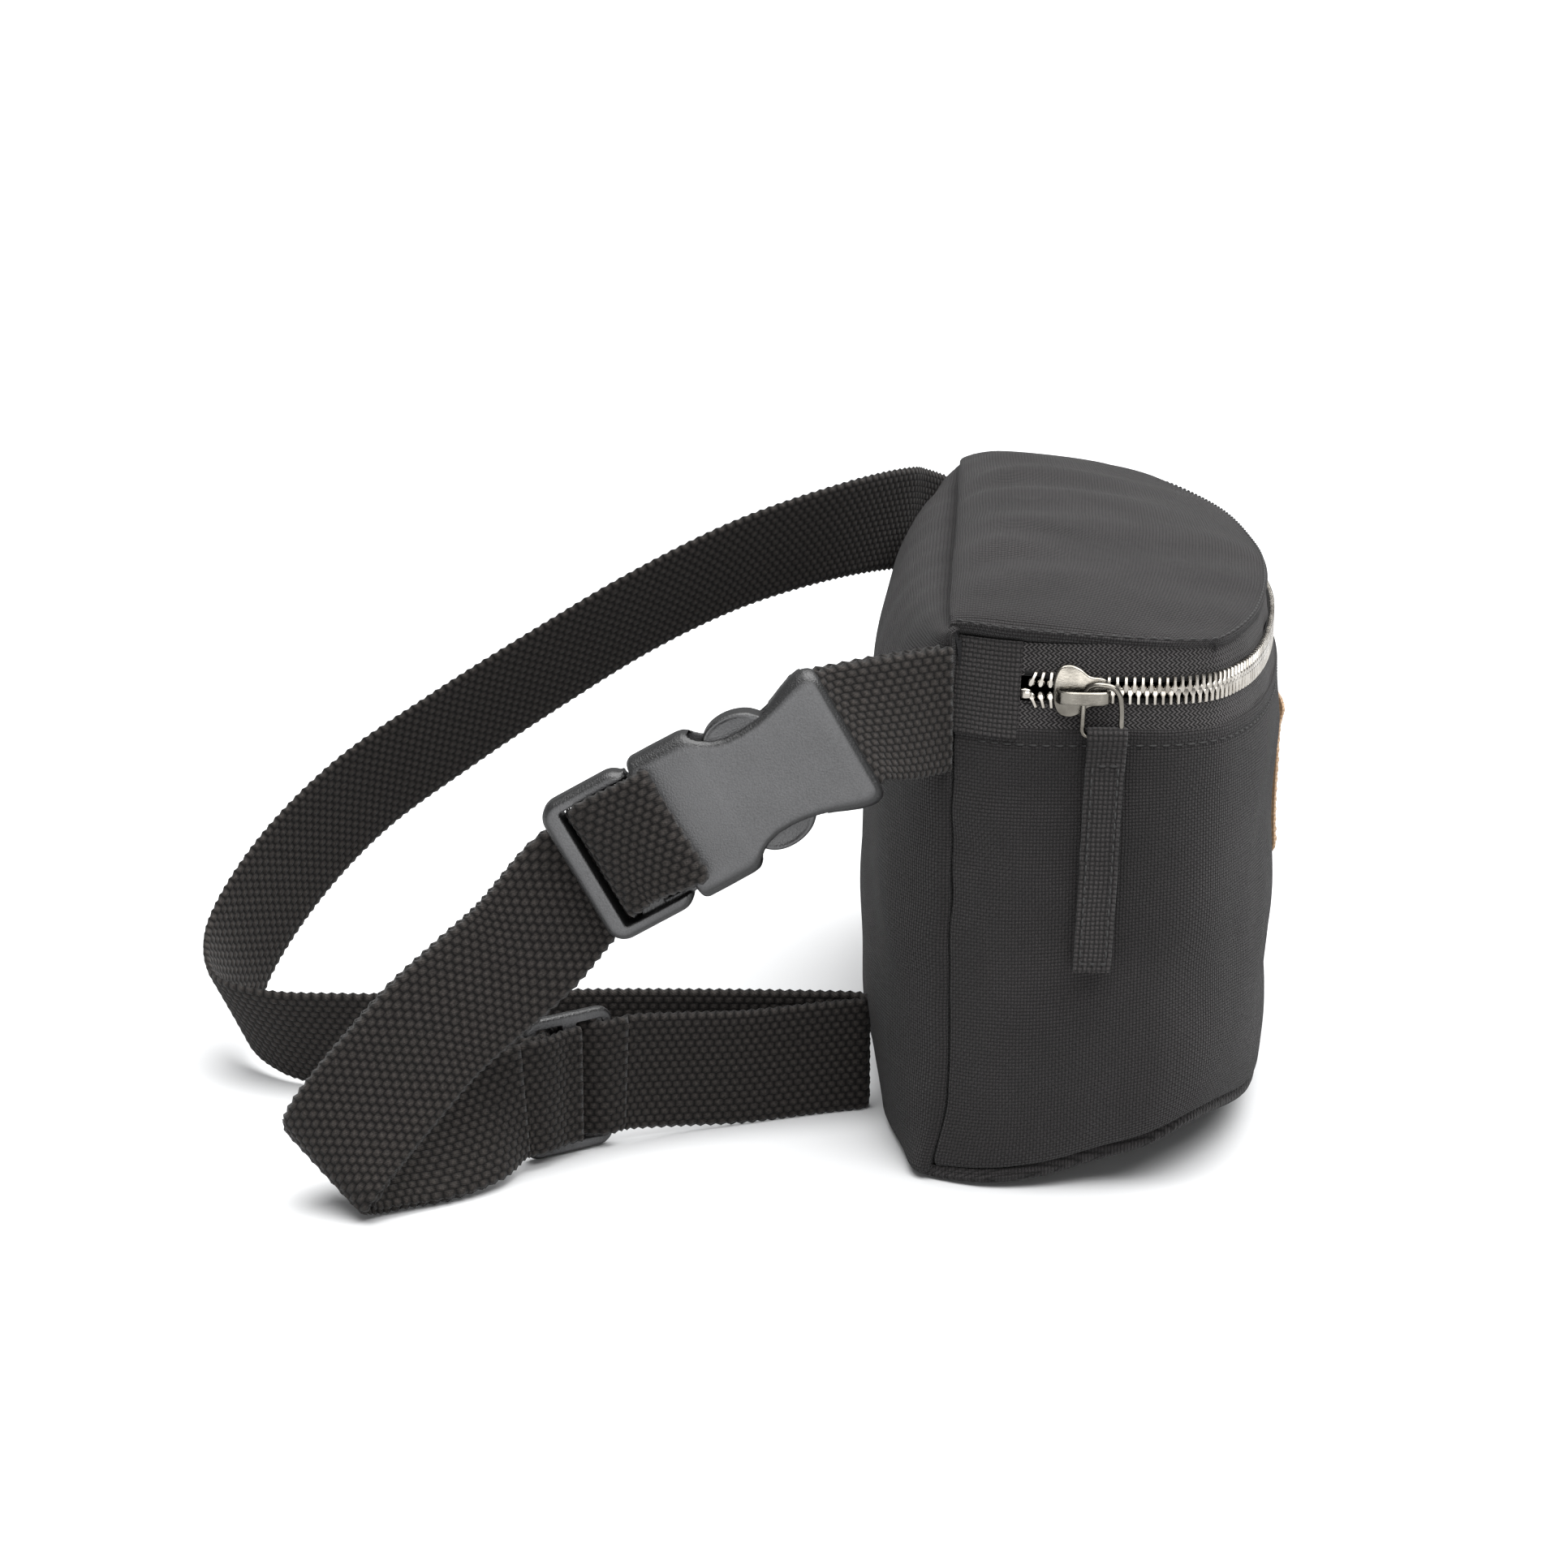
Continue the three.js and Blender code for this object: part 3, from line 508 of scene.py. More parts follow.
def tube(name, path, radius, material, sides=10, closed=False):
    """A round wire along a path; radius is one number or one for each point."""
    path = np.asarray(path, float)
    along = np.roll(path, -1, 0) - np.roll(path, 1, 0) if closed else np.gradient(path, axis=0)
    along = unit(along)
    side = unit(np.cross(along[0], (0.3, 0.2, 0.93)))
    frames = []
    for direction in along:
        side = unit(side - direction * np.dot(side, direction))
        frames.append((side, np.cross(direction, side)))
    angle = np.linspace(0, 2 * math.pi, sides, endpoint=False)
    radius = np.broadcast_to(radius, len(path))
    points = [p + r * (math.cos(a) * s + math.sin(a) * t)
              for p, r, (s, t) in zip(path, radius, frames) for a in angle]
    return add_mesh(name, points, tube_faces(sides, len(path), closed=closed), material)


def join(name, pieces):
    """One object out of several."""
    with bpy.context.temp_override(active_object=pieces[0], selected_editable_objects=pieces):
        bpy.ops.object.join()
    pieces[0].name = pieces[0].data.name = name
    return pieces[0]


def laid(matrix, points):
    """Points of a fitting's own frame, in the pack's frame."""
    turn = np.array(matrix)[:3, :3]
    return np.asarray(points, float) @ turn.T + np.array(matrix)[:3, 3]


def basis(x, y, z, at):
    """The frame of a fitting, from its axes and its place."""
    return np.vstack([np.column_stack([x, y, z, at]), [0, 0, 0, 1]])


def moved_by(x, y, z):
    return basis((1, 0, 0), (0, 1, 0), (0, 0, 1), (x, y, z))


def pillow(outline, half, edge, name, material, matrix, steps=5):
    """A plate with rounded edges: the outline is a closed line, counter-clockwise."""
    line = np.asarray(outline, float)
    along = unit(np.roll(line, -1, 0) - np.roll(line, 1, 0))
    inward = np.column_stack([-along[:, 1], along[:, 0]])
    rings = []
    for k in range(steps + 1):
        a = math.pi / 2 * k / steps
        rings.append((edge * (1 - math.cos(a)), half - edge * (1 - math.sin(a))))
    rings = [(d, -z) for d, z in rings[::-1]] + rings[1:]
    points = [np.column_stack([line + inward * d, np.full(len(line), z)]) for d, z in rings]
    return add_mesh(name, laid(matrix, np.vstack(points)), tube_faces(len(line), len(rings)), material)


def loft(name, sections, material, matrix, sides):
    """A body through cross-sections (x, half width, half thickness, squareness) in a fitting's own frame."""
    angle = np.linspace(0, 2 * math.pi, sides, endpoint=False)
    c, s = np.cos(angle), np.sin(angle)
    points = []
    for x, wide, thick, power in sections:
        y = wide * np.sign(c) * np.abs(c) ** (2 / power)
        z = thick * np.sign(s) * np.abs(s) ** (2 / power)
        points.append(np.column_stack([np.full(sides, x), y, z]))
    faces = tube_faces(sides, len(sections))
    return outward(add_mesh(name, laid(matrix, np.vstack(points)), faces, material))


def outward(piece):
    """Turns every face of a closed piece outwards."""
    work = bmesh.new()
    work.from_mesh(piece.data)
    bmesh.ops.recalc_face_normals(work, faces=work.faces)
    work.to_mesh(piece.data)
    work.free()
    return piece


def block(name, low, high, matrix, material):
    """A box used to cut or to join, in a fitting's own frame."""
    (x0, y0, z0), (x1, y1, z1) = low, high
    points = [(x, y, z) for x in (x0, x1) for y in (y0, y1) for z in (z0, z1)]
    faces = [(0, 1, 3, 2), (4, 6, 7, 5), (0, 4, 5, 1), (2, 3, 7, 6), (0, 2, 6, 4), (1, 5, 7, 3)]
    return outward(add_mesh(name, laid(matrix, points), faces, material))


def applied(piece):
    """The piece with its modifiers applied."""
    depsgraph = bpy.context.evaluated_depsgraph_get()
    mesh = bpy.data.meshes.new_from_object(piece.evaluated_get(depsgraph))
    piece.modifiers.clear()
    piece.data = mesh
    return piece


def carved(piece, others, operation="DIFFERENCE"):
    for other in others:
        modifier = piece.modifiers.new("cut", "BOOLEAN")
        modifier.operation = operation
        modifier.solver = "EXACT"
        modifier.object = other
        applied(piece)
        bpy.data.objects.remove(other)
    return piece


def moulded(piece, voxel=0.32, rounds=4, share=0.5):
    """Softens a cut body's edges as moulding does: an even remesh, then smoothing, then fewer faces."""
    remesh = piece.modifiers.new("remesh", "REMESH")
    remesh.mode = "VOXEL"
    remesh.voxel_size = voxel * MM
    smooth = piece.modifiers.new("smooth", "SMOOTH")
    smooth.iterations = rounds
    smooth.factor = 0.5
    thin = piece.modifiers.new("thin", "DECIMATE")
    thin.ratio = share
    applied(piece)
    piece.data.shade_smooth()
    return piece


def part_of(piece, body, node=None):
    """What a piece moves with, and the CAD node that it stands for."""
    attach(piece, body)
    if node:
        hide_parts(node)


# ---- the pack's own surfaces ---------------------------------------------------------------------

PLAN = [(-115, 38.3), (-120.8, 26), (-122.6, 14), (-121.9, 0), (-121.2, -14), (-116, -24), (-104, -31.5),
        (-85, -37.5), (-48, -43), (-10, -44.5), (40, -39.5), (84, -28), (106, -16), (116, -1), (119, 14),
        (118.3, 27), (115, 38.3)]
BACK_Y = 40
ZIP_LOW, ZIP_MID, ZIP_HIGH = 116, 125.2, 134.2
END_TAB = 17
LID_CORNER = 0.19  # share of the plan's length that each end of the lid takes
LID_STITCH = 2.9
WRAP_TOP, WRAP_STITCH_Z = 116.2, 112.3

plan_line = catmull(PLAN, 40)
plan_along = run_length(plan_line)
PLAN_LENGTH = plan_along[-1]
plan_tangent = unit(np.gradient(plan_line, axis=0))


def on_plan(u, inset, z):
    """Point on the plan at fraction u of its length, moved in by inset, at height z."""
    at = np.asarray(u, float) * PLAN_LENGTH
    x, y, tx, ty = (np.interp(at, plan_along, c) for c in (*plan_line.T, *plan_tangent.T))
    return np.stack(np.broadcast_arrays(x - ty * inset, y + tx * inset, z), axis=-1)


def zip_inset(z):
    return 0.8 + (z - ZIP_LOW) / (ZIP_HIGH - ZIP_LOW) * 3.2


def back_belly(x, z):
    aside = np.minimum(1, np.abs(x) / 115)
    rise = z - 50
    above = np.sqrt(1 - clamped(rise / 87) ** 4)
    below = (1 - clamped(-rise / 145) ** 2) ** 0.6
    foot = 1 - 0.25 * hump(z, 14)
    return 22.2 * (1 - aside**3.5) ** 0.7 * above * below * foot


# The wrap's lower edge lies higher towards the front, where the base comes up to meet it. Each row is the
# distance along the plan from either back seam, the edge's height, and how far it is tucked in.
HEM = np.array([(0, 3.0, 1.0), (12, 3.9, 2.2), (26, 6.3, 3.6), (40, 10.2, 4.6), (54, 14.4, 5.0),
                (65, 17.4, 5.0), (79, 17.4, 4.2), (99, 14.4, 2.2), (117, 11.6, 1.3), (140, 10.0, 1.3),
                (177.2, 9.4, 1.5)])
hem_line = catmull(HEM, 12)


def hem(u):
    """Height and tuck of the wrap's lower edge at fraction u of the plan."""
    along = np.minimum(u, 1 - np.asarray(u, float)) * PLAN_LENGTH
    return tuple(np.interp(along, hem_line[:, 0], hem_line[:, k]) for k in (1, 2))


def corner_pull(grid):
    """The back seams drift towards the wearer near the table, and draw the cloth beside them along."""
    x, y, z = grid[..., 0], grid[..., 1], grid[..., 2]
    near = hump(np.abs(x) - 116, 12) * hump(y - 38, 16) * hump(z, 13)
    moved = grid.copy()
    moved[..., 1] += 4.5 * near
    return moved


def wrap_grid():
    u = spaced(PLAN_LENGTH, 2.6, 0.6, 2.4)
    v = spaced(113.6, 2.6)
    v = np.sort(np.concatenate([v, np.array([108.8, 109.4, 110.0, 110.6]) / 113.6]))
    ug, vg = grid_from(u, v)
    low, tuck = hem(ug)
    zg = low + (WRAP_TOP - low) * vg
    grid = on_plan(ug, tuck * np.exp(-(zg - low) / 7.5), zg)
    grid = swollen(grid, 2.0, 2.2)
    along = ug * PLAN_LENGTH
    fade = clamped((zg - low) / 20) * clamped((114 - zg) / 14)
    creases = ripple(along, zg * 1.7, 40, 110, 5) * 0.34 + ripple(along * 1.3, zg * 0.6, 16, 34, 8) * 0.08
    drawn = hump(np.minimum(along, PLAN_LENGTH - along) - 8, 26) * hump(zg - 82, 28)
    creases = creases + ripple(along * 0.7 + zg * 0.5, zg * 1.1, 14, 34, 15) * 0.32 * drawn
    ends = hump(along, 14) + hump(PLAN_LENGTH - along, 14)
    puckers = ends * np.sin(zg / 3.4 + ripple(zg, 0, 20, 40, 3)) * 0.16
    groove = -0.3 * hump(zg - WRAP_STITCH_Z, 0.8)
    relief = creases * fade + puckers + groove
    grid = grid + grid_normals(grid) * relief[..., None]
    grid = rolled(grid, 1.6, 1.2, ("u0", "u1"))
    grid = rolled(grid, 2.6, 2.2, ("v0",))
    grid = rolled(grid, 1.2, 1.0, ("v1",))
    return corner_pull(grid), zg


def turned_in(grid, ends, deep=0.5):
    """Carries the ends of a grid on into the pack, as the seam allowance does."""
    rows = [grid]
    for end in ends:
        edge = grid[0] if end == "u0" else grid[-1]
        side = -np.sign(edge[0, 0])
        extra = [edge + (side * reach, -deep * share, 0) for reach, share in ((1.5, 0.3), (6.0, 1.0))]
        rows = [np.stack(extra[::-1]), *rows] if end == "u0" else [*rows, np.stack(extra)]
    return np.concatenate(rows)


def skirted(grid, reach=2.0, drop=1.4):
    """Turns all four borders of the lid down and in, into its seams."""
    wide = np.pad(grid, ((1, 1), (1, 1), (0, 0)), "edge")
    rim = np.ones(wide.shape[:2], bool)
    rim[1:-1, 1:-1] = False
    inward = unit((np.array([0, 10, 0]) - wide) * (1, 1, 0))
    wide[rim] += inward[rim] * reach - (0, 0, drop)
    return wide


def back_grid():
    fractions = spaced(250, 2.8)
    x = 115.4 - 230.8 * fractions
    z = 1.2 + 137.0 * spaced(136, 2.8)
    xg, zg = grid_from(x, z)
    turn = clamped((115.4 - np.abs(xg)) / 4)
    grid = np.stack([xg, 38.9 + 1.3 * turn**0.5 + back_belly(xg, zg), zg], axis=-1)
    grid = swollen(grid, 1.6, 1.6)
    edge = clamped((116 - np.abs(xg)) / 18) * clamped((136 - zg) / 16)
    sags = ripple(xg * 0.8, zg, 26, 80, 11) * 0.55 * edge
    puckers = hump(115 - np.abs(xg), 13) * np.sin(zg / 3.1 + 1) * 0.3
    gather = hump(136 - zg, 12) * np.sin(xg / 3.7) * 0.22
    grid = grid + grid_normals(grid) * (sags + puckers + gather)[..., None]
    grid = rolled(grid, 2.6, 2.2, ("v0", "v1"))
    return corner_pull(rolled(grid, 1.0, 0.8, ("u0", "u1")))


def lid_grid():
    u = spaced(232, 2.6)
    v = spaced(88, 2.3)
    ug, vg = grid_from(u, 1 - v)
    inset = 2.4
    back = np.stack([-115 + inset + (230 - 2 * inset) * ug, np.full(ug.shape, BACK_Y - 0.1), 0 * ug], axis=-1)
    front = on_plan(LID_CORNER + (1 - 2 * LID_CORNER) * ug, inset, 0)
    near, far = on_plan(LID_CORNER * vg, inset, 0), on_plan(1 - LID_CORNER * vg, inset, 0)
    c00, c10 = on_plan(0, inset, 0), on_plan(1, inset, 0)
    c01, c11 = on_plan(LID_CORNER, inset, 0), on_plan(1 - LID_CORNER, inset, 0)
    s, t = ug[..., None], vg[..., None]
    grid = back * (1 - t) + front * t + near * (1 - s) + far * s
    grid = grid - (c00 * (1 - s) * (1 - t) + c10 * s * (1 - t) + c01 * (1 - s) * t + c11 * s * t)
    ends = np.sin(np.pi * clamped(ug)) ** 0.45
    dome = 12.0 * ends * np.sin(np.pi * clamped(vg) ** 0.5) ** 0.9
    rise = 137 - 2.5 * np.minimum(1, vg * 1.6)
    grid[..., 2] = rise + 1.6 + dome
    grid = swollen(grid, 1.6, 2.0)
    x, y = grid[..., 0], grid[..., 1]
    inside = clamped(np.minimum(vg, 1 - vg) * 7) * clamped(np.minimum(ug, 1 - ug) * 12)
    folds = np.sin(x / 5.2 + 0.03 * y + ripple(x, y, 50, 90, 2)) * hump(BACK_Y - y, 26) * 0.75
    waves = ripple(x * 1.1, y * 0.5, 26, 60, 21) * 0.55
    groove = -0.3 * hump(edge_distance(grid) - LID_STITCH, 0.8)
    grid = grid + grid_normals(grid) * ((folds + waves) * inside + groove)[..., None]
    return rolled(grid, 2.4, 2.2, ("u0", "u1", "v0", "v1"))


def lengths(grid):
    """How far along each of a grid's two axes its points lie."""
    return run_length(grid), np.moveaxis(run_length(np.moveaxis(grid, 1, 0)), 0, 1)


def edge_distance(lid):
    """How far each point of the lid lies from its free edge."""
    u, v = lengths(lid)
    return np.minimum(np.minimum(u, u[-1:] - u), v)


def add_shell_pieces():
    wrap, zg = wrap_grid()
    front = shell("front_wrap", turned_in(wrap, ("u0", "u1")), 1.3, CANVAS)
    part_of(front, "bag", "front_panel")
    row = int(np.argmin(np.abs(zg[0] - WRAP_STITCH_Z)))
    add_stitch_line("front_topstitch", wrap[:, row], grid_normals(wrap)[:, row], "bag", 0.02, 0.98)

    back = shell("back_cloth", turned_in(back_grid(), ("u0", "u1"), 2.6), 2.2, CANVAS)
    part_of(back, "bag", "back_panel")

    lid = lid_grid()
    top = shell("top_cloth", skirted(lid), 1.3, CANVAS)
    part_of(top, "lid", "top_panel")
    loop_at, loop_n = lid_edge_line(lid, grid_normals(lid), LID_STITCH)
    add_stitch_line("top_topstitch", loop_at, loop_n, "lid", 0.01, 0.99)


def lid_edge_line(lid, normal, depth):
    """The line a set distance inside the lid's free edge: near end, front, far end."""
    u, v = lengths(lid)
    nu, nv = lid.shape[:2]

    def at_u(j, distance):
        return at_lengths(distance, u[:, j], np.column_stack([lid[:, j], normal[:, j]]))

    def at_v(i, distance):
        return at_lengths(distance, v[i], np.column_stack([lid[i], normal[i]]))

    near = [at_u(j, depth) for j in range(nv - 1, -1, -1) if v[0, j] > depth]
    front = [at_v(i, depth) for i in range(nu) if depth < u[i, 0] < u[-1, 0] - depth]
    far = [at_u(j, u[-1, j] - depth) for j in range(nv) if v[-1, j] > depth]
    line = np.array(near + front + far)
    return line[:, :3], unit(line[:, 3:])


def add_stitch_line(name, path, normal, body, start, end, slot="canvas", material=None, **how):
    along = run_length(path)
    at = np.linspace(start * along[-1], end * along[-1], max(8, int(along[-1])))
    both = at_lengths(at, along, np.column_stack([path, normal]))
    piece = thread_run(name, both[:, :3], unit(both[:, 3:]), material or THREAD, **how)
    part_of(piece, body)
    return piece


def thread_run(name, path, normal, material, pitch=3.1, length=2.3, radius=0.24, sides=6):
    """Thread stitches along a line on cloth; each sinks into the cloth at both ends."""
    along_path = run_length(path)
    t = np.linspace(-1, 1, 7)
    lift = np.sqrt(clamped(1 - t**2))
    points, faces = [], []
    for middle in np.arange(pitch / 2, along_path[-1] - pitch / 2, pitch):
        at = at_lengths(middle + t * length / 2, along_path, path)
        out = unit(at_lengths(middle + t * length / 2, along_path, normal))
        side = unit(np.cross(out, unit(np.gradient(at, axis=0))))
        base = len(points)
        for k in range(len(t)):
            thick = radius * (0.35 + 0.65 * lift[k])
            centre = at[k] + out[k] * (lift[k] - 0.45) * radius * 1.5
            for m in range(sides):
                a = 2 * math.pi * m / sides
                points.append(centre + thick * (math.cos(a) * side[k] + math.sin(a) * out[k]))
        faces += tube_faces(sides, len(t), base)
    return outward(add_mesh(name, points, faces, material))


def add_bottom():
    """The base: flat on the table at the back, and drawn up all round to the wrap's lower edge."""
    u = np.linspace(0, 1, 150)
    low, tuck = hem(u)
    front = on_plan(u, tuck + 1.2, low + 0.2)
    x = np.linspace(113, -113, 70)[1:-1]
    back = np.column_stack([x, 38.2 + back_belly(x, 1.5) * 0.96, np.full(len(x), 2.6)])
    rim = corner_pull(np.vstack([front, back]))
    spine = np.column_stack([np.clip(rim[:, 0], -72, 72), np.full(len(rim), 6.0), 0 * rim[:, 0]])
    inward = (spine - rim) * (1, 1, 0)
    reach = np.linalg.norm(inward, axis=1)
    inward = inward / reach[:, None]
    outer, inner = [], []
    swell = np.zeros(len(rim))
    swell[:len(u)] = hump(np.minimum(u, 1 - u) * PLAN_LENGTH - 12, 14)
    for distance, drop in ((0.2, 0.0), (-0.5, 0.7), (-0.7, 1.6), (-0.3, 2.5), (0.8, 3.3), (3.0, 3.9),
                           (8.0, 4.8), (16.0, 6.4), (26.0, 8.8), (36.0, 12.0)):
        bulge = swell * 1.6 * math.sin(math.pi * min(1, drop / 4.4))
        at = rim + inward * (np.minimum(distance, reach * 0.92) - bulge)[:, None]
        height = rim[:, 2] - drop
        at[:, 2] = np.where(height > 1.2, height, 1.2 * np.exp((height - 1.2) / 1.2))
        outer.append(at)
        inner.append(at + (0, 0, 1.1) + inward * 0.6)
    rings = inner[:0:-1] + outer[1:]
    points = np.vstack(rings)
    faces = tube_faces(len(rim), len(rings))
    # The caps aren't quite flat, and the way they are wound settles how they split into triangles.
    faces[-2:] = [cap[::-1] for cap in faces[-2:]]
    piece = outward(add_mesh("bottom_cloth", points, faces, CANVAS, points[:, :2]))
    part_of(piece, "bag", "bottom_panel")


def add_lining():
    """A loose pouch inside, sewn to the zip tape."""
    u = np.linspace(0, 1, 150)
    v = np.concatenate([np.linspace(0, 0.86, 30), np.linspace(0.89, 1, 8)])
    ug, vg = grid_from(u, v)
    floor_at = hem(ug)[0] + 4.5
    zg = floor_at + (115 - floor_at) * vg
    tuck = hem(ug)[1] * np.exp(-(zg - hem(ug)[0]) / 7.5)
    inset = 7.5 + tuck - 4.7 * clamped((zg - 92) / 22) ** 2
    inset = inset + ripple(ug * PLAN_LENGTH, zg * 0.6, 18, 46, 31) * 0.7 * clamped((112 - zg) / 20)
    wall = on_plan(ug, inset, zg)
    pouch = shell("lining_wall", wall, 0.6, LINING)
    x = np.linspace(-111.5, 111.5, 94)
    zb = np.concatenate([np.linspace(6, 126, 34), np.linspace(128, 135, 5)])
    xg, zbg = grid_from(x[::-1], zb)
    flare = clamped((zbg - 92) / 22)
    y = 35.6 + ripple(xg, zbg * 0.7, 20, 50, 33) * 0.7 * clamped((130 - zbg) / 20) + 1.2 * flare
    back = shell("lining_back", np.stack([xg * (1 + 0.018 * flare), y, zbg], axis=-1), 0.6, LINING)
    low, tuck = hem(np.linspace(0.01, 0.99, 90))
    rim = on_plan(np.linspace(0.01, 0.99, 90), 8.0 + tuck * 0.6, low + 4.6)
    line = np.vstack([rim, [(x, 35.4, 7.6) for x in np.linspace(106, -106, 30)]])
    centre = np.array([0, 2, 0])
    rings = []
    for k, level in ((1.0, 1.0), (0.97, 0.85), (0.7, 0.5), (0.35, 0.3), (0.08, 0.25)):
        ring = centre + (line - centre) * k
        ring[:, 2] = 3.5 + (line[:, 2] - 3.5) * level
        rings.append(ring)
    n = len(line)
    points = np.vstack([*rings, *(ring - (0, 0, 0.8) for ring in rings[::-1])])
    upper = tube_faces(n, len(rings))
    under = tube_faces(n, len(rings), len(rings) * n)
    faces = upper[:-2] + under[:-2] + [upper[-1], under[-2]]
    last = len(points) - n
    faces += [(k, last + k, last + (k + 1) % n, (k + 1) % n) for k in range(n)]
    floor = outward(add_mesh("lining_floor", points, faces, LINING, points[:, :2]))
    xg, rise = grid_from(np.linspace(113.5, -113.5, 90), np.linspace(0, 1, 14))
    strip = np.stack([xg, 36.9 + 1.5 * rise**2, 129.5 + 8.3 * rise], axis=-1)
    strip = shell("hinge_strip", strip, 0.6, LINING)
    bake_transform(strip)
    for piece in (pouch, back, floor):
        part_of(piece, "bag", "lining")


def add_label():
    """A folded jute label on the front, with a little thickness at its fold."""
    u = np.linspace(-13, 13, 40) / PLAN_LENGTH + 0.5
    z = np.linspace(58, 100, 44)
    ug, zg = grid_from(u, z)
    stand = 1.4 + 0.8 * hump(zg - 96.5, 3.0) + 0.4 * hump(zg - 60, 4)
    stand = stand + 0.15 * ripple(ug * PLAN_LENGTH, zg, 12, 30, 41)
    grid = rolled(on_plan(ug, -stand - 0.6, zg), 1.2, 0.7, ("u0", "u1", "v0", "v1"))
    label = shell("front_label_cloth", grid, 1.5, JUTE)
    part_of(label, "bag", "front_label")
    normal = grid_normals(grid)
    for side, line, start in (("near", np.s_[4], 0.04), ("far", np.s_[35], 0.04), ("low", np.s_[:, 3], 0.1),
                              ("high", np.s_[:, 40], 0.1)):
        add_stitch_line("label_stitch_" + side, grid[line], normal[line], "bag", start, 1 - start, "cork",
                        TAN_THREAD, pitch=2.7, length=2.0)


# ---- zip -----------------------------------------------------------------------------------------

TAB_END = END_TAB / PLAN_LENGTH
SLIDE = unit(on_plan(46 / PLAN_LENGTH, 0, 0) - on_plan(24 / PLAN_LENGTH, 0, 0))
SLIDE_OUT = np.array([SLIDE[1], -SLIDE[0], 0])
SLIDER_FROM_SEAM = 31.3  # along the plan
SLIDER_AT = on_plan(SLIDER_FROM_SEAM / PLAN_LENGTH, zip_inset(ZIP_MID) + 0.3, ZIP_MID)
SLIDER_FRAME = basis(SLIDE, (0, 0, 1), SLIDE_OUT, SLIDER_AT)
EYE = np.array([4.4, 0.8, 5.5])
RING_DROP = 10.5
PULL_X, PULL_LEAN, PULL_LENGTH = 6.4, 2.4, 57
TOOTH_PITCH = 1.95


def zip_band(name, start, end, low, high, thickness, material, step=2.2, relief=0.0):
    length = (end - start) * PLAN_LENGTH
    u = start + (end - start) * np.linspace(0, 1, max(6, round(length / step)))
    z = np.linspace(low, high, 10)
    ug, zg = grid_from(u, z)
    grid = on_plan(ug, zip_inset(zg) - relief * ripple(ug * PLAN_LENGTH, zg, 14, 40, 51), zg)
    return shell(name, grid, thickness, material)


def add_zip_cloth():
    start, end = TAB_END - 3 / PLAN_LENGTH, 1 - TAB_END + 3 / PLAN_LENGTH
    lower = zip_band("zip_tape_lower_cloth", start, end, 113.0, 122.3, 0.7, TAPE, relief=0.1)
    upper = zip_band("zip_tape_upper_cloth", start, end, 128.1, 135.6, 0.7, TAPE, relief=0.1)
    for piece, body, node in ((lower, "bag", "zip_tape_lower"), (upper, "lid", "zip_tape_upper")):
        part_of(piece, body, node)
    for side, a, b in (("near", 0.0, TAB_END), ("far", 1 - TAB_END, 1.0)):
        z = np.linspace(113.5, 136.0, 22)
        u = a + (b - a) * spaced(END_TAB, 1.2, 0.4, 1.6)
        ug, zg = grid_from(u, z)
        grid = on_plan(ug, zip_inset(zg) - 0.9, zg)
        free = "u1" if side == "near" else "u0"
        grid = turned_in(rolled(grid, 1.2, 0.8, (free,)), ("u0",) if side == "near" else ("u1",))
        tab = shell("zip_end_cover_" + side, grid, 0.9, COARSE)
        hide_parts("zip_end_tab_" + side)
        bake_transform(tab)


# From root to head: reach from the chain's middle line, half width, half thickness.
TOOTH = ((3.35, 0.34, 0.42), (3.28, 0.46, 0.62), (3.0, 0.50, 0.74), (1.5, 0.50, 0.76), (1.15, 0.58, 0.76),
         (0.85, 0.80, 0.74), (0.35, 0.84, 0.66), (-0.2, 0.66, 0.56), (-0.55, 0.3, 0.34))


def tooth_rings(sides=8):
    """One tooth from its root to its head: rings of (along, up, out) round its middle line."""
    angle = np.linspace(0, 2 * math.pi, sides, endpoint=False) + math.pi / sides
    c, s = np.cos(angle), np.sin(angle)
    c, s = (np.sign(w) * np.abs(w) ** 0.6 for w in (c, s))
    return np.array([np.column_stack([c * wide, np.full(sides, reach), s * thick])
                     for reach, wide, thick in TOOTH])


def chain_half(name, side):
    """One half of the chain. The teeth behind the slider splay apart."""
    first, last = END_TAB + 1.6, PLAN_LENGTH - END_TAB - 2.5
    shift = 0.0 if side > 0 else TOOTH_PITCH / 2
    template = tooth_rings()
    rows, sides = template.shape[:2]
    closed_from = SLIDER_FROM_SEAM - 1.0
    points, faces, places = [], [], []
    for k in range(3):
        places.append((first + 1.0 + k * 2.35, 1.25 - 0.1 * k, -side * (0.42 - 0.16 * k)))
    for along in np.arange(closed_from + shift, last, TOOTH_PITCH):
        places.append((along, 0.0, 0.0))
    for along, apart, lean in places:
        here = on_plan(along / PLAN_LENGTH, 0, 0)
        ahead = on_plan((along + 0.5) / PLAN_LENGTH, 0, 0)
        x = unit(ahead - here)
        out = np.array([x[1], -x[0], 0])
        shape = template * (1, side, 1)
        c, s = math.cos(lean), math.sin(lean)
        flat = shape @ np.array([[c, s, 0], [-s, c, 0], [0, 0, 1]])
        at = on_plan(along / PLAN_LENGTH, zip_inset(ZIP_MID) - 0.55, ZIP_MID + side * apart)
        base = len(points) * rows * sides
        points.append(at + flat[..., :1] * x + flat[..., 1:2] * (0, 0, 1) + flat[..., 2:] * out)
        faces += tube_faces(sides, rows, base)
    return outward(add_mesh(name, np.array(points).reshape(-1, 3), faces, METAL, sharp=35))


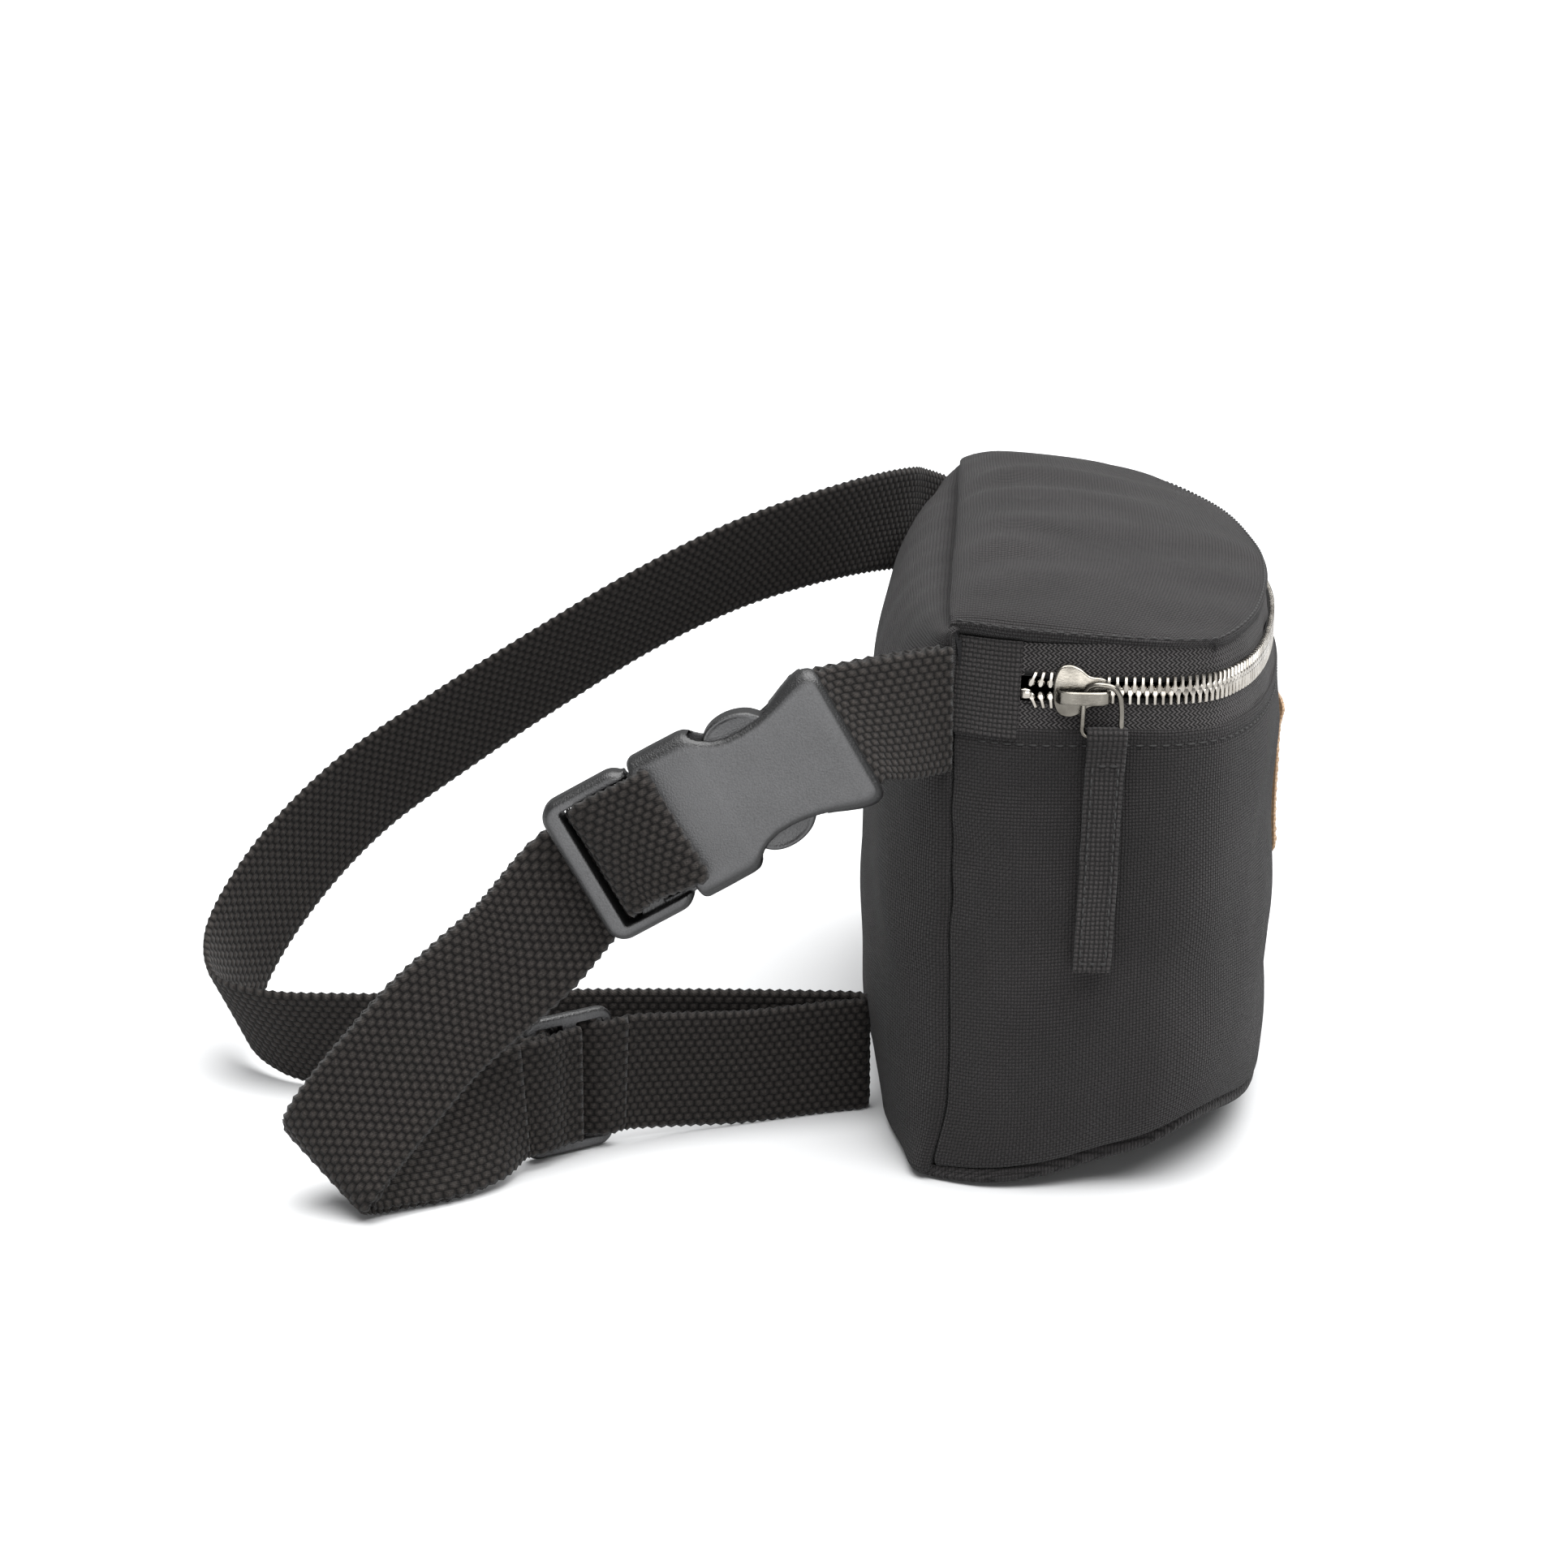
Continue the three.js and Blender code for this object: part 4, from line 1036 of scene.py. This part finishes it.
def bead_cord(name, side):
    """The corded edge of the tape, which the teeth are clamped to."""
    along = np.arange(END_TAB + 1, PLAN_LENGTH - END_TAB - 1, 1.5)
    open_part = clamped((26.5 - along) / 5)
    reach = 2.55 + 1.1 * open_part
    path = on_plan(along / PLAN_LENGTH, zip_inset(ZIP_MID) - 0.1, ZIP_MID + side * reach)
    return tube(name, path, 0.62, TAPE, sides=8)


def add_zip_metal():
    for name, side, body, node in (("chain_lower", -1, "bag", "zip_teeth_lower"),
                                   ("chain_upper", 1, "lid", "zip_teeth_upper")):
        teeth = chain_half(name, side)
        part_of(teeth, body, node)
        cord = bead_cord(name + "_cord", side)
        part_of(cord, body)
    for name, along in (("zip_stop_near", END_TAB + 1.5), ("zip_stop_far", PLAN_LENGTH - END_TAB - 1.2)):
        x = unit(on_plan((along + 0.5) / PLAN_LENGTH, 0, 0) - on_plan(along / PLAN_LENGTH, 0, 0))
        place = basis(x, (0, 0, 1), (x[1], -x[0], 0),
                      on_plan(along / PLAN_LENGTH, zip_inset(ZIP_MID) - 0.6, ZIP_MID - 1.1))
        sections = [(-1.35, 0.35, 0.35, 3), (-1.1, 1.15, 0.75, 3), (-0.2, 1.35, 0.95, 3), (0.8, 1.2, 0.85, 3),
                    (1.25, 0.7, 0.5, 3)]
        stop = loft(name, sections, METAL, place, sides=20)
        part_of(stop, "bag")


def smooth_outline(points, per_span=8):
    """A closed smooth line through the points."""
    p = np.asarray(points, float)
    looped = np.vstack([p[-2:], p, p[:3]])
    line = catmull(looped, per_span)
    return line[2 * per_span:(2 + len(p)) * per_span]


def add_slider():
    outline = smooth_outline([(-6.1, 0), (-5.9, -3.2), (-4.6, -5.6), (-2.2, -6.2), (0.2, -5.3), (2.4, -3.7),
                              (5.4, -3.3), (6.3, -2.6), (6.3, 2.6), (5.4, 3.3), (2.4, 3.8), (0.2, 5.4),
                              (-2.2, 6.3), (-4.6, 5.7), (-5.9, 3.2)])
    front = pillow(outline, 0.75, 0.45, "slider_front", SHADED_METAL,
                   SLIDER_FRAME @ moved_by(0, 0, 2.75))
    for vertex in front.data.vertices:
        local = np.linalg.inv(SLIDER_FRAME) @ np.array([*(np.array(vertex.co) / MM), 1])
        droop = -0.05 * local[1] ** 2 * 0.55 - 0.012 * (local[0] - 1) ** 2
        vertex.co = Vector(laid(SLIDER_FRAME, [local[:3] + (0, 0, droop + 0.25)])[0] * MM)
    rear = pillow(outline * 0.9, 0.55, 0.3, "slider_rear", SHADED_METAL,
                  SLIDER_FRAME @ moved_by(0, 0, -2.75))
    post = block("slider_post", (-5.2, -0.5, -2.6), (-0.6, 0.5, 2.6), SLIDER_FRAME, SHADED_METAL)
    body = join("slider_body", [front, rear, post])
    part_of(body, "slider", "zip_slider")
    arch = catmull([(-5.2, 2.9), (-5.25, 4.4), (-4.5, 5.9), (-2.6, 6.8), (0.5, 7.15), (4.0, 7.15), (5.9, 6.7),
                    (6.55, 5.6), (6.6, 4.3), (6.3, 3.0)], 8)
    ring = []
    along = unit(np.gradient(arch, axis=0))
    side_of = np.column_stack([-along[:, 1], along[:, 0]])
    wide, thick, middle = 1.55, 0.42, -0.6
    corners = [(1, 0.5), (0.8, 1), (-0.8, 1), (-1, 0.5), (-1, -0.5), (-0.8, -1), (0.8, -1), (1, -0.5)]
    for p, n in zip(arch, side_of):
        for across, through in corners:
            q = p + n * thick * through
            ring.append((q[0], middle + across * wide, q[1]))
    faces = tube_faces(len(corners), len(arch))
    bridge = outward(add_mesh("slider_bridge", laid(SLIDER_FRAME, ring), faces, SHADED_METAL, sharp=30))
    part_of(bridge, "slider", "slider_eye")


def add_ring():
    bottom = EYE[1] - RING_DROP
    route = [(-0.7, bottom + 3, 5.6), (-0.6, -4, 5.55), (-0.3, -1.2, 5.4), (0.7, 1.2, 5.3), (2.4, 2.25, 5.7),
             (4.8, 2.35, 6.1), (7.3, 1.8, 6.2), (8.9, 0.1, 6.0), (9.5, -2.6, 5.8), (9.6, bottom + 3, 5.6),
             (9.5, bottom + 1.0, 5.5), (8.6, bottom, 5.5), (4.4, bottom, 5.5), (0.3, bottom, 5.5),
             (-0.6, bottom + 1.0, 5.5)]
    line = smooth_outline(np.array(route) * (0.874, 1, 1) + (1.2, 0, 0))
    ring = outward(tube("pull_ring_wire", laid(SLIDER_FRAME, line), 0.66, SHADED_METAL, sides=12, closed=True))
    part_of(ring, "ring", "pull_ring")


def pull_depth(y):
    """How far out the pull stands at a distance -y below the ring: a slight wave and a lean."""
    return 0.25 * np.sin(y / 9) - 1.3 * y / PULL_LENGTH


def add_pull():
    """A folded strip of canvas: up the back, over the wire and down the front, sewn round its edge."""
    top = EYE[1] - RING_DROP
    length = PULL_LENGTH
    path = [(-0.75, -length)]
    path += [(-0.8, -length + k) for k in (1.2, 6, 14, 24, 34, 44, 50, 53.5)]
    path += [(-1.35, -2.0), (-1.45, 0.0), (-1.1, 1.1), (0, 1.6), (1.1, 1.1), (1.45, 0), (1.35, -2.0)]
    path += [(0.85, -length + k) for k in (53.5, 50, 44, 34, 24, 14, 6, 1.2)] + [(0.8, -length)]
    line = catmull(np.array(path), 6)
    along = unit(np.gradient(line, axis=0))
    normal = np.column_stack([-along[:, 1], along[:, 0]])
    half = 4.55
    across = np.array([-1, -0.985, -0.93, -0.6, -0.2, 0.2, 0.6, 0.93, 0.985, 1])
    edge = np.array([0, 0.55, 0.85, 1, 1, 1, 1, 0.85, 0.55, 0])
    grid = np.zeros((len(line), len(across), 3))
    inner = np.zeros_like(grid)
    for k, (a, e) in enumerate(zip(across, edge)):
        taper = half * (1 + 0.04 * clamped((line[:, 1] + 12) / 12))
        x = PULL_X + a * taper - PULL_LEAN * clamped(-line[:, 1] / length)
        z = EYE[2] + line[:, 0] + pull_depth(line[:, 1])
        for store, thick in ((grid, 0.42 * e), (inner, -0.42 * e)):
            y = top + line[:, 1] + normal[:, 1] * thick
            store[:, k] = np.column_stack([x, y, z + normal[:, 0] * thick])
    uv = np.stack(grid_from(run_length(line), across * half), axis=-1)
    outer, inner = laid(SLIDER_FRAME, grid), laid(SLIDER_FRAME, inner)
    pull = outward(sheet("pull_tab_cloth", outer, inner, COARSE, uv))
    part_of(pull, "pull", "pull_tab")
    face = EYE[2] + 0.85 + 0.45

    def on_face(points):
        return laid(SLIDER_FRAME, [(PULL_X + x + PULL_LEAN * y / length, top + y, face + pull_depth(y))
                                   for x, y in points])

    edge_in, low, high = 3.0, -length + 2.2, -7.0
    box_line = [(-edge_in, y) for y in np.linspace(high, low, 26)]
    box_line += [(x, low) for x in np.linspace(-edge_in, edge_in, 6)[1:]]
    box_line += [(edge_in, y) for y in np.linspace(low, high, 26)[1:]]
    box_line += [(x, high) for x in np.linspace(edge_in, -edge_in, 6)[1:]]
    line = on_face(box_line)
    add_stitch_line("pull_stitching", line, np.tile(SLIDE_OUT, (len(line), 1)), "pull", 0, 1, pitch=2.6,
                    length=1.9, radius=0.27)


# ---- webbing -------------------------------------------------------------------------------------

# Stations of webbing: the centre, and the direction of its width.
BIG_ARC = [
    (110, 33.5, 115.5, 0, 0, 1), (113.6, 36.4, 116, 0, 0, 1), (115.6, 39.8, 116.6, 0, 0, 1),
    (114.6, 43.0, 117.6, 0, -0.03, 1), (99, 50.6, 123, 0.02, -0.08, 1), (83, 56, 126.5, -0.02, -0.13, 0.99),
    (60, 73, 127, -0.25, -0.08, 0.97), (41, 100, 121, -0.43, 0.05, 0.9), (28, 126, 110, -0.53, 0.17, 0.83),
    (18, 151, 96, -0.55, 0.26, 0.79), (9, 177, 80, -0.53, 0.31, 0.79), (-2, 202, 63, -0.51, 0.36, 0.78),
    (-17, 220.5, 44, -0.5, 0.4, 0.77), (-34, 230, 27, -0.5, 0.38, 0.78), (-49, 228, 18, -0.5, 0.23, 0.84),
    (-60, 215, 15.4, -0.38, 0.12, 0.91), (-66, 193, 15.3, -0.25, 0.06, 0.97),
    (-67, 171, 15.2, -0.12, 0, 0.99), (-65, 150, 15.2, -0.05, 0, 1), (-63, 122, 15.2, 0, 0, 1),
    (-61.6, 92, 15.2, 0, 0, 1),
    (-61.4, 72, 15.2, 0, 0, 1), (-61.6, 63.5, 15.2, 0, 0, 1)]
U_TURN = [(-62.4, 60.6, 15.2, 0, 0, 1), (-64.4, 59.5, 15.2, 0, 0, 1), (-66.5, 60.6, 15.2, 0, 0, 1),
          (-67.6, 63.6, 15.2, 0, 0, 1)]
NEAR_RUN = [(-70.6, 71.5, 15.2, 0, 0, 1), (-79, 90.5, 15.5, 0, 0, 1), (-86, 106, 17, 0, 0, 1)]
FOLD = [
    (-122.5, 152.5, 15.4, 0.25, 0.28, 0.92), (-128.5, 162, 12.9, 0.42, 0.4, 0.81),
    (-133, 171.4, 11.8, 0.53, 0.46, 0.71), (-137, 179.4, 10.4, 0.56, 0.56, 0.61),
    (-141, 183.8, 10.2, 0.53, 0.65, 0.54), (-144.6, 185.3, 11.2, 0.49, 0.7, 0.51),
    (-147, 184.2, 14, 0.38, 0.78, 0.49), (-147.6, 180.8, 19.6, 0.24, 0.82, 0.51),
    (-146.6, 174.7, 27.5, 0.08, 0.82, 0.56), (-145, 167.3, 36.2, -0.03, 0.79, 0.61),
    (-143, 158.9, 45.7, -0.08, 0.75, 0.66), (-140.6, 148.5, 55.2, -0.06, 0.7, 0.71),
    (-138, 137.8, 64.7, -0.03, 0.62, 0.78)]
# Along the buckle, out from it, and how far the webbing lies to one side.
OVER_THE_BAR = [(-3, -4.8, -3.2), (2.0, -4.7, -2.2), (4.8, -3.6, -1.1), (6.4, -1.2, -0.2), (6.9, 1.4, 0.3),
                (8.9, 3.9, 1.0), (12.2, 5.3, 1.6), (16.5, 6.7, 1.7), (20.8, 8.0, 1.6), (24.4, 8.5, 1.4),
                (26.9, 8.3, 1.3), (28.0, 7.25, 1.2), (26.7, 6.4, 1.1), (24.2, 6.1, 1.0), (22.4, 4.5, 0.8),
                (22.0, 2.2, 0.6), (21.7, 0, 0.4), (20.6, -2.3, 0.1), (16.8, -3.8, -0.5), (12, -4.9, -1.2),
                (5, -6.7, -2.4), (-3, -7.6, -3.4)]
THROUGH_ADJUSTER = [(-16, 2.3), (-11, 2.7), (-8.6, 2.3), (-5.6, 0), (-2.6, -2.4), (0, -2.8), (2.6, -2.4),
                    (5.6, 0), (8.6, 2.3), (11, 2.7), (16, 2.3)]
LOOSE_END = [(15.5, 5), (10.8, 5.3), (7, 4.6), (2.8, 3), (0, 2.7), (-2.4, 2.7)]
TAB_OUT = [(-116.2, 38.4, 119, 0, 0, 1), (-119.5, 42, 119.2, 0, 0.07, 1),
           (-125.8, 48.5, 119.4, 0, 0.22, 0.975), (-132, 55.2, 119.8, 0, 0.37, 0.93)]
ROUND_THE_BAR = [(73.4, -2.8), (71.4, -0.2), (69, 0.6), (66.6, 0.5), (64.7, -0.6), (64.3, -2.2), (64.9, -4),
                 (67.2, -5.1), (69, -6.6), (70.8, -8.8)]
TAB_BACK = [(-128.2, 57.8, 118.9, 0, 0.4, 0.92), (-123.6, 51.2, 119, 0, 0.25, 0.97),
            (-118.4, 45, 119, 0, 0.1, 1), (-114.8, 41.4, 119, 0, 0, 1)]
LAYER_PITCH = 2.5  # between two layers of webbing

BUCKLE_ALONG = unit(np.array([0, -63, 36.0]))
BUCKLE_ACROSS = np.cross((-1, 0, 0), BUCKLE_ALONG)
BUCKLE_FRAME = basis(BUCKLE_ALONG, BUCKLE_ACROSS, (-1, 0, 0), (-140, 124.4, 83.7))
ADJUSTER_ALONG = unit(np.array([-0.62, 0.785, 0]))
ADJUSTER_OUT = unit(np.array([-0.785, -0.62, 0]))
ADJUSTER_FRAME = basis(ADJUSTER_ALONG, (0, 0, -1), ADJUSTER_OUT, (-101.5, 132.5, 18.6))


def through(place, across, points):
    """Stations for webbing that runs through a fitting: (along, out) or (along, out, aside) in its frame."""
    at = laid(place, [(p[0], p[2] if len(p) > 2 else 0, p[1]) for p in points])
    return np.column_stack([at, np.tile(across, (len(at), 1))])


def inner_layer(stations):
    """The stations of a second layer, behind the first."""
    stations = np.asarray(stations, float)
    centre = stations[:, :3]
    last = len(centre) - 1
    tangent = np.array([centre[min(i + 1, last)] - centre[max(i - 1, 0)] for i in range(last + 1)])
    normal = unit(np.cross(stations[:, 3:], tangent))
    return np.column_stack([centre + normal * LAYER_PITCH, stations[:, 3:]])


def web_rows(stations, row_step, sheared=False):
    """Even steps along webbing: centres, width directions, and the distance along. Sheared webbing keeps the
    width directions of its stations, as between a slanting bar and an upright seam."""
    stations = np.asarray(stations, float)
    centre, lean = catmull(stations[:, :3], 24), catmull(stations[:, 3:], 24)
    along = run_length(centre)
    count = int(along[-1] / row_step)
    at = np.arange(count + 1) * along[-1] / count
    centre, lean = at_lengths(at, along, centre), at_lengths(at, along, lean)
    tangent = unit(np.gradient(centre, axis=0))
    square = lean - tangent * np.sum(lean * tangent, axis=1, keepdims=True)
    lean = unit(lean if sheared else square)
    return centre, lean, unit(np.cross(lean, tangent)), at


def webbing(name, rows, start, end, half_thick=0.8, relief=0.3):
    """Webbing between two distances along: floats stand up from both faces, and loops from both edges."""
    centre, lean, normal, at = rows
    first, last = np.searchsorted(at, (start, end))
    last = min(last, len(at) - 1)
    keep = slice(first, last + 1)
    centre, lean, normal, at = centre[keep], lean[keep], normal[keep], at[keep]
    half_width = WEB_WIDTH / 2
    columns = 2 * round(WEB_WIDTH / PEBBLE_ACROSS)
    w = np.linspace(-half_width, half_width, columns + 1)
    m = np.arange(columns + 1)
    k = np.arange(first, last + 1)[:, None]
    crown = ((m % 2 == 1) & ((k + m // 2) % 2 == 0)).astype(float)
    between = np.where(m % 2 == 1, 0.0, 0.25)
    height = half_thick + relief * np.maximum(crown, between)
    taper = np.ones(columns + 1)
    taper[[1, -2]] = 0.72
    taper[[2, -3]] = 0.93
    loops = 0.28 * np.where(k % 2 == 0, 1, -1)[:, 0]
    count = len(at)
    width = np.broadcast_to(w, (count, columns + 1)).copy()
    width[:, 0] -= 0.15 + loops
    width[:, -1] += 0.15 - loops
    from_bar = np.linalg.norm(centre - laid(BUCKLE_FRAME, [(14, 0, 0)]), axis=1)
    width *= (1 - 0.04 * np.exp(-((from_bar / 15) ** 4)))[:, None]
    middle = centre[:, None] + lean[:, None] * width[..., None]
    top = middle + normal[:, None] * (height * taper)[..., None]
    low = middle - normal[:, None] * (height * taper)[..., None]
    ring = np.concatenate([middle[:, :1], top[:, 1:-1], middle[:, -1:], low[:, -2:0:-1]], axis=1)
    uv_v = np.concatenate([w[:1], w[1:-1], w[-1:], w[-2:0:-1]]) + half_width
    uv = np.stack(np.broadcast_arrays((k * 1.0) * PEBBLE_ALONG / 2, uv_v[None]), axis=-1)
    n = ring.shape[1]
    i, j = grid_from(np.arange(count - 1), np.arange(n))
    a, b = i * n + j, i * n + (j + 1) % n
    faces = np.stack([a, a + n, b + n, b], axis=-1).reshape(-1, 4).tolist()
    half = n // 2
    for base, turn in ((0, 1), ((count - 1) * n, -1)):
        for j in range(half):
            quad = dict.fromkeys((base + j, base + j + 1, base + (n - j - 1) % n, base + (n - j) % n))
            faces.append(list(quad)[::turn])
    return outward(add_mesh(name, ring.reshape(-1, 3), faces, WEB, uv.reshape(-1, 2), sharp=180))


def nearest_row(rows, point):
    """Distance along the webbing of the row nearest to a point."""
    centre, at = rows[0], rows[3]
    return at[int(np.argmin(np.linalg.norm(centre - np.asarray(point, float), axis=1)))]


def adjuster(points):
    """Stations for webbing through the strap adjuster."""
    return through(ADJUSTER_FRAME, (0, 0, 1), points)


def add_strap():
    over = through(BUCKLE_FRAME, BUCKLE_ACROSS, OVER_THE_BAR)
    outer = [*BIG_ARC, *U_TURN, *NEAR_RUN, *adjuster(THROUGH_ADJUSTER), *FOLD]
    back = [*inner_layer(FOLD)[::-1], *adjuster(LOOSE_END)]
    stations = np.vstack([outer, over, back])
    rows = web_rows(stations, PEBBLE_ALONG / 2)
    ends = (adjuster([(-16, 2.3)])[0], adjuster([(16, 2.3)])[0], FOLD[5], inner_layer(FOLD)[5],
            adjuster([(15.5, 5)])[0])
    marks = [0, *(nearest_row(rows, end[:3]) for end in ends), rows[3][-1] + 1]
    names = ("far", "in_adjuster", "low", "rise", "low_inner", "loose_end")
    pieces = {name: webbing("strap_" + name, rows, a, b) for name, a, b in zip(names, marks, marks[1:])}
    for piece in pieces.values():
        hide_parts("waist_strap")
    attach(pieces["in_adjuster"], "adjuster")
    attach(pieces["loose_end"], "adjuster")
    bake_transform(pieces["far"])
    for name in ("low", "low_inner"):
        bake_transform(pieces[name])
    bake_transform(pieces["rise"])


def add_buckle_tab():
    turn = through(BUCKLE_FRAME, BUCKLE_ACROSS, ROUND_THE_BAR)
    rows = web_rows(np.vstack([TAB_OUT, turn, TAB_BACK]), PEBBLE_ALONG / 2, sheared=True)
    tab = webbing("buckle_tab_webbing", rows, 0, rows[3][-1] + 1, half_thick=0.6, relief=0.25)
    part_of(tab, "bag", "buckle_tab")


# ---- buckle and adjuster -------------------------------------------------------------------------

def rounded_rectangle(x0, x1, y0, y1, r, steps=8):
    """A closed line, counter-clockwise."""
    line = []
    corners = ((x1 - r, y0 + r, -90), (x1 - r, y1 - r, 0), (x0 + r, y1 - r, 90), (x0 + r, y0 + r, 180))
    for cx, cy, start in corners:
        for k in range(steps + 1):
            a = math.radians(start + 90 * k / steps)
            line.append((cx + r * math.cos(a), cy + r * math.sin(a)))
    return np.array(line)


def bar_body(name, knots, matrix, step=0.7):
    """A moulded bar through knots (x, half width, half thickness, rounding of its edges)."""
    knots = np.array(knots, float)
    x = np.unique(np.concatenate([np.arange(knots[0, 0], knots[-1, 0], step), knots[:, 0]]))
    points = []
    for at in x:
        wide, thick, edge = (np.interp(at, knots[:, 0], knots[:, k]) for k in (1, 2, 3))
        ring = rounded_rectangle(-wide, wide, -thick, thick, min(edge, wide - 0.02, thick - 0.02))
        points.append(np.column_stack([np.full(len(ring), at), ring]))
    faces = tube_faces(len(points[0]), len(points))
    return outward(add_mesh(name, laid(matrix, np.vstack(points)), faces, PLASTIC))


# The female half's outline along the buckle, as knots for bar_body.
FEMALE = [
    (23.9, 17.7, 4.3, 3.4), (24.3, 18.4, 4.9, 3.9), (25.2, 18.8, 5.15, 4.2), (30, 18.8, 5.2, 4.2),
    (37.2, 18.7, 5.2, 4.2), (38.8, 18.4, 5.2, 4.1), (39.8, 17.7, 5.15, 3.8), (40.6, 16.7, 5.1, 3.0),
    (42, 15.2, 5.1, 2.4), (44, 13.9, 5.1, 2.2), (47, 13.0, 5.1, 2.2), (51, 12.8, 5.1, 2.2),
    (54.5, 13.1, 5.1, 2.3), (57.5, 13.8, 5.1, 2.6), (60.5, 14.9, 5.1, 3.2), (63.5, 16.3, 5.1, 3.9),
    (66.3, 17.4, 5.1, 4.2), (68.6, 17.9, 5.1, 4.2), (70.4, 17.9, 5.0, 4.1), (71.7, 17.4, 4.8, 4.0),
    (72.6, 16.4, 4.2, 3.4), (73.0, 15.4, 3.6, 3.0)]


def dished(prong, side):
    """Presses a shallow oval into both faces of a prong's button."""
    turn, origin = BUCKLE_FRAME[:3, :3], BUCKLE_FRAME[:3, 3]
    where = np.empty(len(prong.data.vertices) * 3)
    prong.data.vertices.foreach_get("co", where)
    local = (where.reshape(-1, 3) / MM - origin) @ turn
    near = clamped(1 - ((local[:, 0] - 48.6) / 6.0) ** 2 - ((side * local[:, 1] - 13.4) / 3.1) ** 2)
    local[:, 2] *= 1 - 0.34 * near
    prong.data.vertices.foreach_set("co", ((local @ turn.T + origin) * MM).ravel())
    prong.data.update()
    return prong


def buckle_block(name, low, high):
    return block(name, low, high, BUCKLE_FRAME, PLASTIC)


def add_buckle():
    female = bar_body("buckle_female_body", FEMALE, BUCKLE_FRAME)
    cavity = bar_body("cavity", [(20, 15.8, 3.4, 1.2), (38, 17.2, 3.4, 1.2), (57.5, 17.2, 3.4, 1.2),
                                 (61, 12, 3.4, 1.2)], BUCKLE_FRAME)
    tab_space = buckle_block("tab_space", (63.2, -15.8, -20), (100, 15.8, 1.9))
    tab_exit = buckle_block("tab_exit", (69.5, -40, -20), (100, 40, 0.4))
    female = carved(female, [cavity, tab_space, tab_exit])
    bar = buckle_block("bar", (66.1, -17.4, -2.9), (67.3, 17.4, -1.2))
    female = moulded(carved(female, [bar], "UNION"))
    part_of(female, "bag", "buckle_female")

    male = pillow(rounded_rectangle(-0.3, 22.9, -18.8, 18.8, 4.8), 3.6, 2.5, "buckle_male_body", PLASTIC,
                  BUCKLE_FRAME)
    openings = ((4.6, 9, -20, 20), (16, 30, -20, 20), (8, 17, 1.3, 20), (8, 17, -20, -1.2))
    cuts = [buckle_block("cut", (a, -15.5, low), (b, 15.5, high)) for a, b, low, high in openings]
    male = carved(outward(male), cuts)
    added = [buckle_block("rib", (15.5, -15.9, -1.9), (26, -14.3, 1.9)),
             buckle_block("end", (22.3, 15.0, -1.9), (26, 15.45, 1.9)),
             buckle_block("heel", (15.5, 15.1, -1.9), (22.6, 17.0, 1.9)),
             buckle_block("crossbar", (24.0, -15.3, -2.6), (27.2, 15.3, 2.6)),
             buckle_block("tongue", (27.0, -1.4, -1.7), (46, 1.4, 1.7))]
    male = moulded(carved(male, added, "UNION"))
    part_of(male, "male", "buckle_male")

    for name, side in (("upper", 1), ("lower", -1)):
        knots = [(27.8, 0.7, 2.1, 0.6), (28.6, 1.5, 2.7, 1.0), (40, 1.7, 2.8, 1.0), (46, 1.9, 2.8, 1.0),
                 (53, 1.3, 2.6, 0.9), (54.2, 0.8, 2.2, 0.6)]
        arm = bar_body("prong_arm", knots, BUCKLE_FRAME @ moved_by(0, side * 12.2, 0))
        outline = smooth_outline([(40.9, 10.6), (41.6, 13.9), (43.9, 16.1), (47.4, 17.1), (51.6, 16.7),
                                  (55.2, 14.9), (57.2, 11.9), (52.5, 9.4), (46, 9.2)][::-1])
        if side < 0:
            outline = (outline * (1, -1))[::-1]
        button = outward(pillow(outline, 3.2, 0.9, "button", PLASTIC, BUCKLE_FRAME))
        prong = dished(moulded(join("prong_body_" + name, [arm, button]), voxel=0.28), side)
        part_of(prong, name + "_prong", "prong_" + name)

    outline = rounded_rectangle(-13, 13, -18.3, 18.3, 4.5)
    body = outward(pillow(outline, 1.5, 1.3, "strap_adjuster_body", ADJUSTER_PLASTIC, ADJUSTER_FRAME))
    cuts = [block("cut", (a, -15.5, -20), (b, 15.5, 20), ADJUSTER_FRAME, ADJUSTER_PLASTIC)
            for a, b in ((-9.5, -2), (2, 9.5))]
    body = moulded(carved(body, cuts), voxel=0.3)
    part_of(body, "adjuster", "strap_adjuster")


# ---- the scene -----------------------------------------------------------------------------------

add_camera()
add_studio()
add_shell_pieces()
add_bottom()
add_lining()
add_label()
add_zip_cloth()
add_zip_metal()
add_slider()
add_ring()
add_pull()
add_strap()
add_buckle_tab()
add_buckle()

floor = add_mesh("floor", [(-20000, -20000, 0), (20000, -20000, 0), (20000, 20000, 0), (-20000, 20000, 0)],
                 [(0, 1, 2, 3)], floor_material())
